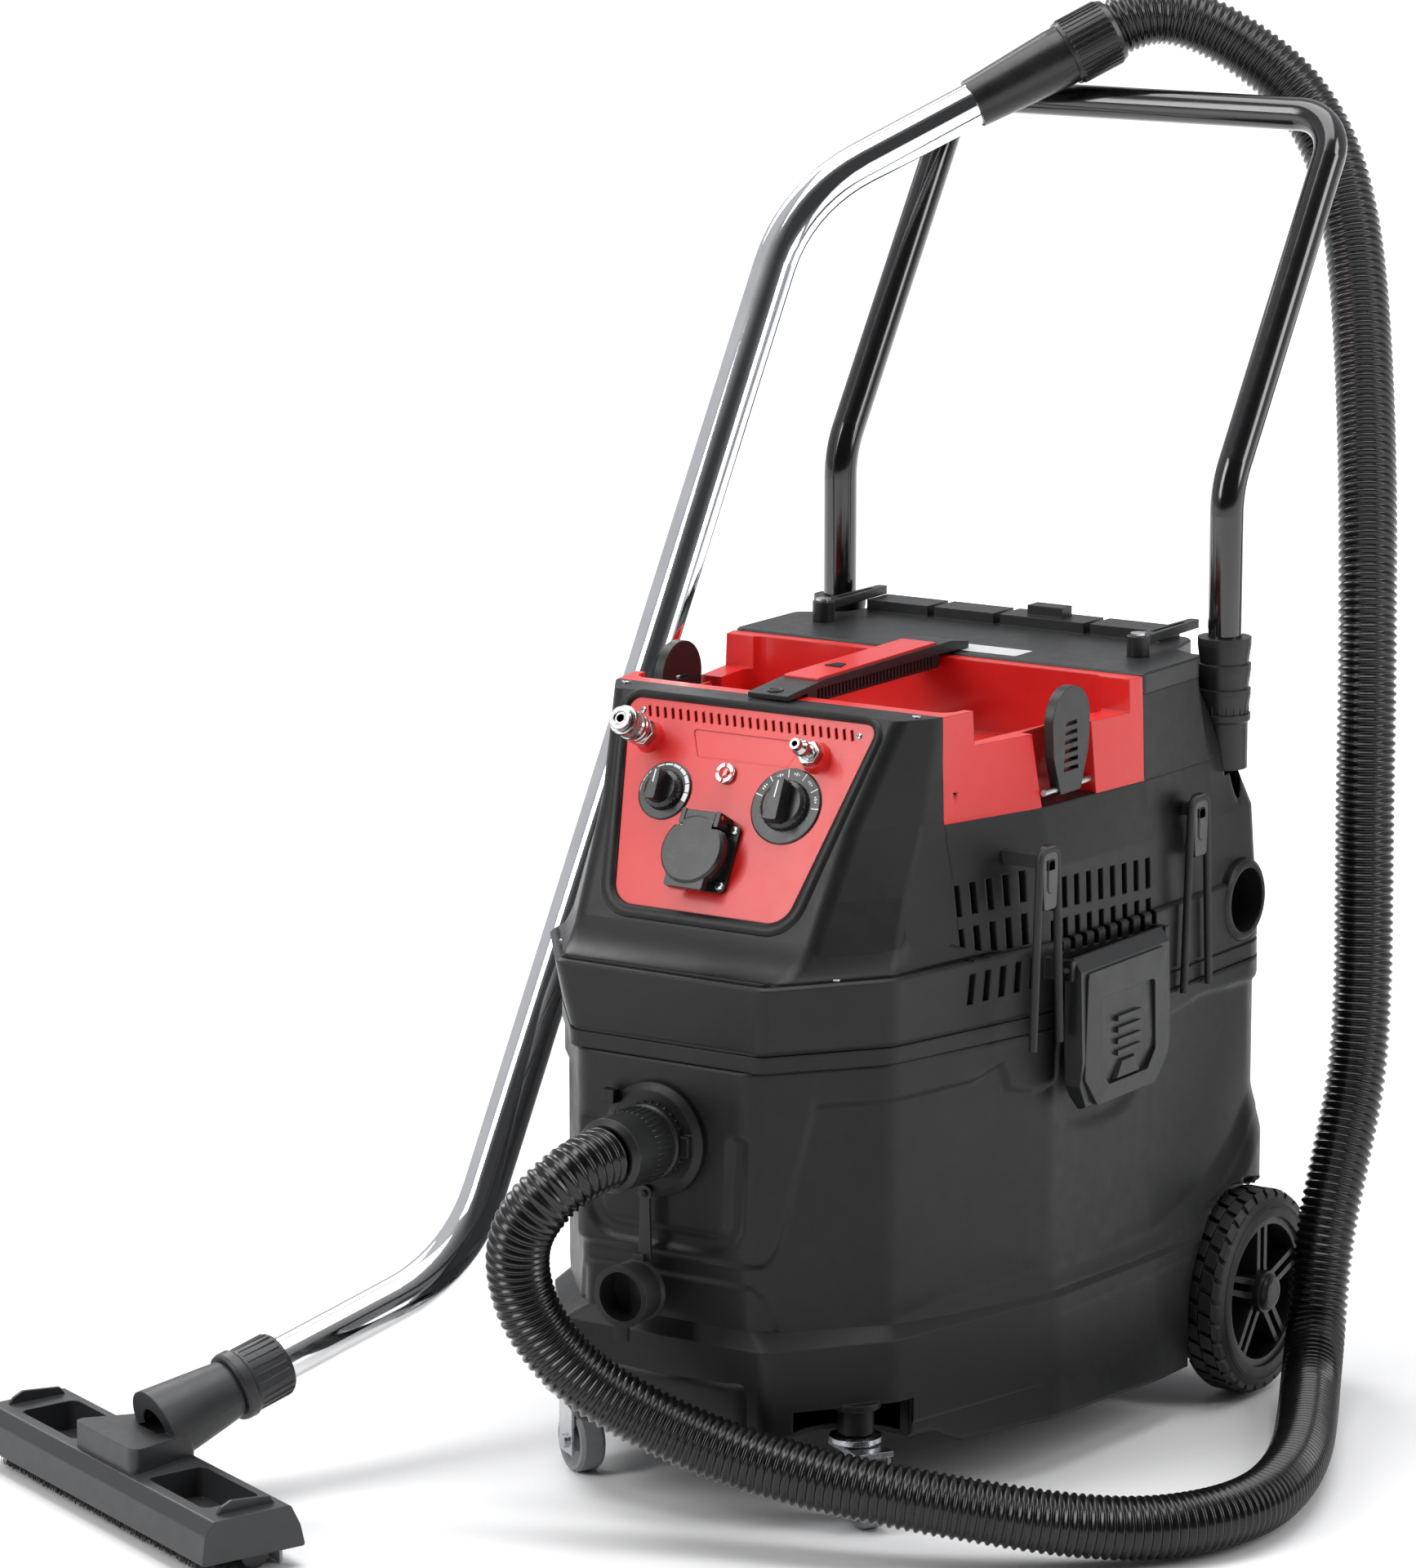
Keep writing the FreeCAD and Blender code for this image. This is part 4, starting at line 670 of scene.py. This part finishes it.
def make_grips():
    """Ribs on the wand's coupler and collar, the hose cuff and the handle sleeves."""
    coupler = basis(WAND_END - WAND_UP * 0.0305, WAND_UP)
    ribbed("coupler_ribs", "head", "smooth", coupler, 27.3, 3, 40, 36, 3.0, 1.1)
    collar = basis(WAND_FOOT - WAND_LOW * 0.014, WAND_LOW)
    ribbed("collar_ribs", "head", "tool", collar, 24.9, 13, 43, 24, 2.6, 0.9)
    cuff = basis(at(-6, -32, 292), -Y)
    ribbed("cuff_ribs", "tank", "deck", cuff, 28.4, 50, 70, 40, 2.0, 0.8)
    ribbed("cuff_lugs", "tank", "deck", cuff, 28.9, 32.5, 39.5, 28, 2.6, 1.2)
    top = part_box("handle_sleeves")[1][2] * 1000
    for name, side in SIDES.items():
        place = basis(at(side * 180, 471, top), Z)
        ribbed("sleeve_ribs_" + name, "head", "deck", place, 19.5, -62, -46, 20, 2.2, 0.8)


def make_label():
    """Blank rating plate on the deck."""
    bm = bmesh.new()
    prism(bm, rounded(74, 27, 1.2, 3), basis(at(30, 350, TOP + 2.02), Z), 0.0, 0.25, 0.06)
    piece("rating_plate", bm, "label", "head")


make_panel_details()
make_tyres()
make_bristles()
make_grips()
make_label()


# ---------------------------------------------------------------- tank skin
WALL_HALF = [(74, -54), (143, 27), (187, 190), (196, 330), (197, 497), (176, 515)]
BODY_RADII = [14, 30, 60, 60, 40, 22]


def ramp(table, value):
    """Piecewise-linear lookup in (position, result) pairs."""
    if value <= table[0][0]:
        return table[0][1]
    for (a, low), (b, high) in zip(table, table[1:]):
        if value <= b:
            return low + (high - low) * (value - a) / (b - a)
    return table[-1][1]


def ease(value):
    """Smooth step from 0 to 1."""
    value = min(1.0, max(0.0, value))
    return value * value * (3 - 2 * value)


def perimeter(half, radii, step):
    """Points, outward normals and distance from the front centre round a rounded, mirrored outline."""
    front = Vector((0, half[0][1]))
    corners = half + [(-x, y) for x, y in reversed(half)]
    places, length = spread([front] + rounded_loop(corners, radii + radii[::-1], 8) + [front], step)
    places.pop()
    count = len(places)
    result = []
    for i, place in enumerate(places):
        along = (places[(i + 1) % count] - places[i - 1]).normalized()
        distance = min(length * i / count, length * (1 - i / count))
        result.append((place, Vector((along.y, -along.x)), distance))
    return result


# Edges of the moulded steps, as (mm along the wall from its front centre, height in mm). NOSE_EDGE gives the
# distance for a height, and CREASES the relief in mm for a distance.
SKIRT_UP = [(0, 124), (80, 128), (99, 139), (129, 143), (159, 147), (236, 158), (327, 162), (413, 159), (494, 160),
            (563, 180), (615, 212), (645, 244), (680, 250), (760, 250)]
SKIRT_LOW = [(0, 106), (60, 108), (99, 114), (159, 121), (236, 124), (440, 127), (533, 129), (590, 146), (624, 172),
             (655, 206), (700, 214)]
SKIRT_FOOT = [(0, 64), (215, 62), (245, 48), (490, 40), (640, 40), (760, 46)]
BAND_LOW = [(0, 352), (98, 350), (108, 342), (122, 323), (224, 324), (264, 325), (292, 334), (300, 312), (325, 306),
            (356, 311), (480, 311), (500, 330), (560, 338), (640, 334), (760, 334)]
NOSE_EDGE = [(190, 70), (200, 80), (214, 91), (243, 99), (294, 112), (323, 121), (352, 124)]
CREASES = [(150, 0.0), (200, 0.9), (258, 0.1), (322, 0.8), (384, 0.1), (446, 0.9), (520, 0.0), (760, 0.0)]


def tank_relief(t, z):
    """How far the tank stands out from its plain wall, in mm: t along the wall from its front, z up."""
    up, low = ramp(SKIRT_UP, t), ramp(SKIRT_LOW, t)
    plain, foot_out = 3.0, 11.6
    level = plain + ramp(CREASES, t) * ease((z - up) / 15) * ease((330 - z) / 20)
    nose = ease((ramp(NOSE_EDGE, z) - t) / 6 + 0.5) * ease((z - 200) / 6)
    level += 4.0 * nose
    band = ease((z - ramp(BAND_LOW, t)) / 6 + 0.5)
    level = max(level, plain + 3.6 * band)
    if t < 100 and 195 < z < 330:
        width = 70 + (z - 250) * 0.04
        outer = t - width
        if z < 252:
            outer = max(math.hypot(max(t - (width - 26), 0), max(236 - z, 0)) - 26, 210 - z)
        inner = outer + 13
        groove = ease(-outer / 3 + 0.5) * ease(inner / 3 + 0.5) * ease((302 - z) / 4)
        level -= 3.0 * groove
    dx, dz = (t - 411) / 62, (z - 318) / 54
    dimple = 1 - ease(((abs(dx) ** 3.2 + abs(dz) ** 3.2) ** (1 / 3.2) - 0.8) / 0.26)
    level = level * (1 - dimple) + 0.5 * dimple
    pocket_edge = max(t - ramp([(129, 80), (146, 97), (176, 84), (188, 72)], z), z - 187, 127 - z)
    pocket = ease(-pocket_edge / 4 + 0.3)
    level = level * (1 - pocket) + 0.4 * pocket
    skirt = min(1.0, max(0.0, (up - z) / max(up - low, 1.0)))
    edge = ease(skirt * 1.15) if skirt < 0.5 else 1 - ease((1 - skirt) * 1.15)
    return level + (foot_out - level) * (0.35 * edge + 0.65 * skirt)


def make_tank_skin():
    """Moulded outer surface of the tank with its steps, pocket, groove and dimples."""
    columns = perimeter(WALL_HALF, BODY_RADII, 2.8)
    rows, top = 112, 352.0
    arch, well, well_x, well_y = 91.0, 50.5, 130, -2
    bm = bmesh.new()
    grid = []
    for place, normal, t in columns:
        foot = ramp(SKIRT_FOOT, t)
        column = []
        for k in range(rows + 1):
            z = foot + (top - foot) * k / rows
            out = place + normal * tank_relief(t, z)
            column.append([out.x, out.y, z])
        grid.append(column)

    def in_arch(p):
        return abs(p[0]) >= 120 and (p[1] - HUB_Y) ** 2 + max(p[2] - HUB_Z, 0.0) ** 2 < arch ** 2

    def in_well(p):
        return p[2] < 92 and (abs(p[0]) - well_x) ** 2 + (p[1] - well_y) ** 2 < well ** 2

    hidden = [[in_arch(p) or in_well(p) for p in column] for column in grid]
    keep = []
    count = len(grid)
    for i in range(count):
        j = (i + 1) % count
        for k in range(rows):
            cell = [(i, k), (j, k), (j, k + 1), (i, k + 1)]
            if not all(hidden[a][b] for a, b in cell):
                keep.append(cell)
    for i, column in enumerate(grid):
        for p, gone in zip(column, hidden[i]):
            if gone and in_arch(p):
                across, high = p[1] - HUB_Y, max(p[2] - HUB_Z, 0.0)
                length = max(math.hypot(across, high), 1e-6)
                p[1] = HUB_Y + across * arch / length
                if high > 0:
                    p[2] = HUB_Z + high * arch / length
    verts = {}
    for cell in keep:
        corners = []
        for key in cell:
            if key not in verts:
                verts[key] = bm.verts.new(at(*grid[key[0]][key[1]]))
            corners.append(verts[key])
        bm.faces.new(corners)
    skin = piece("tank_skin", bm, "body", "tank", angle=180)
    solid = skin.modifiers.new("thickness", "SOLIDIFY")
    solid.thickness = 0.0025
    solid.offset = -1


make_tank_skin()


# ---------------------------------------------------------------- head details
def ring_stack(bm, rings):
    """Skins loops of points one after another into a band, closed onto itself."""
    loops = [[bm.verts.new(p) for p in ring] for ring in rings]
    skin_rows(bm, loops + loops[:1], capped=False)


def make_panel_rim():
    """Rounded arch rim round the control panel."""
    bm = bmesh.new()
    rings = []
    section = [(0.5, -3), (0.5, 3.2), (1.2, 4.8), (3.0, 5.9), (6.5, 6.3), (9.5, 5.4), (11.5, 3.2), (12.3, 0.0),
               (12.3, -3)]
    for grow, out in section:
        foot, top = -84 - grow, 78 + min(grow, 5.0 + 0.05 * grow)
        narrow, wide = 76 + grow, 112 + grow * 0.9
        low_radius, high_radius = 20 + grow, 9 + min(grow, 7)
        corners = [(-narrow, foot), (narrow, foot), (wide, top), (-wide, top)]
        loop = rounded_loop(corners, [low_radius, low_radius, high_radius, high_radius])
        rings.append([on_panel(p.x, p.y, out) for p in loop])
    ring_stack(bm, rings)
    piece("panel_rim", bm, "body", "head", angle=60)


def make_latch_faces():
    """Raised border and lower boss on each latch."""
    outer = [(-60, 52), (60, 52), (64, -30), (44, -54), (-44, -54), (-64, -30)]
    inner = [(-40, 30), (40, 30), (42, -26), (30, -40), (-30, -40), (-42, -26)]
    boss = [(-20, -39), (20, -39), (12, -24), (-12, -24)]
    for name, side in SIDES.items():
        spot = basis(at(side * 218.6, 250, 346), X * side, Y)
        bm = bmesh.new()
        rings = []
        for line, radius, level in ((outer, 5, -2.5), (outer, 5, 2.6), (inner, 4, 4.2), (inner, 4, -2.5)):
            loop = rounded_loop(line, [radius] * 6, 4)
            rings.append([spot @ Vector((p.x / 1000, p.y * side / 1000, level / 1000)) for p in loop])
        ring_stack(bm, rings)
        prism(bm, [(x, y * side) for x, y in boss], spot, -1.0, 4.0, 3.0)
        piece("latch_face_" + name, bm, "deck", "latch_" + name, angle=30)


def make_front_cove():
    """Concave sweep from the head's front down onto its ledge."""
    rise, storey, front_low, front_high, steps, arc = 34.0, 55.0, -34.5, -5.25, 8, 7
    low = [(187, 188), (147, 26), (104, front_low), (-104, front_low)]
    high = [(185, 190), (144, 50), (108, front_high), (-108, front_high)]
    foot = [(191, 188), (152.5, 18), (91.5, -63), (-91.5, -63)]
    lines = []
    for corners in (low, high, foot):
        arcs = rounded_loop(corners, [1, 24, 16, 1], arc - 1)
        side = [arcs[arc - 1].lerp(arcs[arc], share) for share in (0.3, 0.45, 0.6, 0.75, 0.9)]
        lines.append(side + arcs[arc:3 * arc])
    half = []
    for i, (corner, above, outer) in enumerate(zip(*lines)):
        grow = ease((i + 0.15) / 6)
        high_z = 0.6 + rise * grow
        top = corner.lerp(above, high_z / storey)
        if i > 5:
            top = Vector((top.x * 0.992, top.y + 1.0))
        away = corner.lerp(outer, 0.05 + 0.95 * grow)
        half.append((Vector((*corner, LEDGE + 0.2)), Vector((*away, LEDGE + 0.2)), Vector((*top, LEDGE + high_z))))
    mirror = [tuple(Vector((-p.x, p.y, p.z)) for p in row) for row in reversed(half)]
    bm = bmesh.new()
    rows = []
    for corner, away, top in half + mirror:
        row = []
        for k in range(steps + 1):
            share = k / steps
            row.append(away * (1 - share) ** 2 + corner * 2 * share * (1 - share) + top * share ** 2)
        row.append(corner + Vector((-corner.x * 0.02, 2.5, 3)))
        rows.append([bm.verts.new(at(*p)) for p in row])
    skin_rows(bm, rows)
    piece("front_cove", bm, "body", "head", angle=60)


def make_strap_paddles():
    """Flat pull tabs at the tops of the elastic straps."""
    for name, side in SIDES.items():
        bm = bmesh.new()
        for y in ((150, 383) if side > 0 else (383,)):
            spot = basis(at(side * 206.4, y, 486), X * side, Y)
            corners = [(-9, -32), (9, -32), (12, 6), (8, 18), (-8, 18), (-12, 6)]
            tab = rounded_loop([(x, z * side) for x, z in corners], [3, 3, 5, 6, 6, 5], 4)
            prism(bm, [tuple(p) for p in tab], spot, -1.5, 3.6, 0.9)
            prism(bm, rounded(9, 26, 3, 3, 0, -6 * side), spot, 3.4, 4.6, 0.8)
        piece("strap_tabs_" + name, bm, "smooth", "head", angle=30)


def make_hub_caps():
    """Dished caps over the axle's ends."""
    for name, side in SIDES.items():
        bm = bmesh.new()
        spot = basis(at(side * 230.2, HUB_Y, HUB_Z), X * side)
        lathe(bm, [(0, 0), (14.5, 0), (14.5, 2.2), (12.6, 4.2), (9, 4.9), (8.4, 4.2), (0, 4.2)], spot, 48)
        piece("hub_cap_" + name, bm, "rim", "tank")


def make_handle_caps():
    """Screw wells in the carrying handle's ends with dark discs of painted shade as their holes, its fine grip ribs,
    and the grille in its cover as dark bars of painted shade.
    """
    wells, dark, ribs = bmesh.new(), bmesh.new(), bmesh.new()
    for y, z in ((93, TOP + 6.0), (334, TOP + 8.6)):
        spot = basis(at(0, y, z), Z)
        lathe(wells, [(4.2, -1), (6.4, -1), (6.4, 0.7), (5.6, 1.1), (4.2, 0.5)], spot, 32)
        # Dark disc of painted shade at the bottom of each well.
        lathe(dark, [(0, 0), (4.3, 0), (4.3, 0.35), (0, 0.35)], spot, 24)
    for k in range(34):
        y = 134 + k * 5
        for across in (-1, 1):
            spot = basis(at(across * 13.0, y, TOP - 1.5), X * across, Y)
            prism(ribs, rounded(2.4, 9.5, 1.0, 2), spot, -0.4, 1.0, 0.3)
    piece("handle_wells", wells, "deck", "head")
    piece("handle_hole_shade", dark, "hollow", "head")
    piece("handle_ribs", ribs, "deck", "head")
    bm = bmesh.new()
    spot = basis(at(0, 175, TOP + 12.4), Z)
    # Grille openings as dark bars of painted shade.
    for k in range(4):
        prism(bm, rounded(15 - 2 * k, 2.2, 0.8, 2, 0, k * 3.6), spot, -0.6, 0.6, 0.2)
    piece("handle_grille_shade", bm, "hollow", "head")


make_panel_rim()
make_latch_faces()
make_front_cove()
make_strap_paddles()
make_hub_caps()
make_handle_caps()


# ---------------------------------------------------------------- stage, light, camera
CAMERA_TURN, CAMERA_TILT, CAMERA_AWAY = math.radians(33.3), math.radians(11.4), 4.8448


def make_stage():
    """Pale floor that fades to plain white away from the object."""
    reach, cells, height = 40.0, 20, -0.0005
    bm = bmesh.new()
    line = [reach * (2 * i / cells - 1) for i in range(cells + 1)]
    grid = [[bm.verts.new((x, y, height)) for y in line] for x in line]
    for i in range(cells):
        for j in range(cells):
            bm.faces.new((grid[i][j], grid[i + 1][j], grid[i + 1][j + 1], grid[i][j + 1]))
    g = Graph("pale_floor")
    g.put("Base Color", g.blend(g.ranged(g.noise(1.5, 3.0), 0.0, 1.0), (0.86, 0.86, 0.86), (0.9, 0.9, 0.9)))
    g.put("Roughness", 0.65)
    away = g.add("ShaderNodeVectorMath", operation="LENGTH")
    g.link(g.coords, away.inputs[0])
    g.put("Emission Color", (1.0, 1.0, 1.0, 1.0))
    g.put("Emission Strength", g.ranged(away.outputs["Value"], 0.0, 0.85, 0.9, 3.6))
    MAT["floor"] = g.mat
    piece("studio_floor", bm, "floor", None, angle=60)


def area(name, place, target, size, size_y, power):
    """Soft box at a place, turned to its target."""
    data = bpy.data.lights.new(name, "AREA")
    data.energy = power
    data.shape = "RECTANGLE"
    data.size = size
    data.size_y = size_y
    lamp = bpy.data.objects.new(name, data)
    bpy.context.scene.collection.objects.link(lamp)
    lamp.location = place
    lamp.rotation_euler = (Vector(target) - Vector(place)).to_track_quat("-Z", "Y").to_euler()


def make_lights():
    """Four soft boxes, placed about the camera's direction."""
    centre = at(0, 100, 500)
    turn = Matrix.Rotation(CAMERA_TURN, 4, "Z")
    rig = (
        ("key_left", (-3.0, -1.6, 2.2), 1.3, 2.8, 85.0),
        ("fill_right", (3.0, -1.0, 1.9), 0.9, 2.8, 50.0),
        ("top_soft", (0.0, 0.4, 3.6), 3.4, 3.0, 120.0),
        ("rim_back", (-1.8, 3.0, 2.6), 1.6, 1.8, 60.0),
    )
    for name, place, size, size_y, power in rig:
        area(name, centre + turn @ Vector(place), centre, size, size_y, power)


def make_world():
    """Pale surroundings that darken towards the front right."""
    world = bpy.data.worlds.new("studio")
    bpy.context.scene.world = world
    world.use_nodes = True
    tree = world.node_tree
    back = tree.nodes["Background"]
    back.inputs["Color"].default_value = (0.95, 0.96, 1.0, 1.0)
    coords = tree.nodes.new("ShaderNodeTexCoord")
    dot = tree.nodes.new("ShaderNodeVectorMath")
    dot.operation = "DOT_PRODUCT"
    dot.inputs[1].default_value = (0.55, -0.83, 0.1)
    fade = tree.nodes.new("ShaderNodeMapRange")
    for socket, value in (("From Min", 0.1), ("From Max", 0.75), ("To Min", 0.6), ("To Max", 0.05)):
        fade.inputs[socket].default_value = value
    tree.links.new(coords.outputs["Generated"], dot.inputs[0])
    tree.links.new(dot.outputs["Value"], fade.inputs["Value"])
    tree.links.new(fade.outputs["Result"], back.inputs["Strength"])


def make_camera():
    data = bpy.data.cameras.new("camera")
    data.sensor_fit = "HORIZONTAL"
    data.sensor_width = 36.0
    data.lens = 164.33
    data.clip_end = 60
    camera = bpy.data.objects.new("camera", data)
    bpy.context.scene.collection.objects.link(camera)
    away = Vector((math.sin(CAMERA_TURN) * math.cos(CAMERA_TILT), -math.cos(CAMERA_TURN) * math.cos(CAMERA_TILT),
                   math.sin(CAMERA_TILT)))
    camera.location = at(-0.56, 0.10, 553.03) + away * CAMERA_AWAY
    camera.rotation_euler = (-away).to_track_quat("-Z", "Y").to_euler()
    bpy.context.scene.camera = camera


make_stage()
make_lights()
make_world()
make_camera()
bpy.context.scene.view_settings.view_transform = "Standard"

bpy.context.view_layer.update()
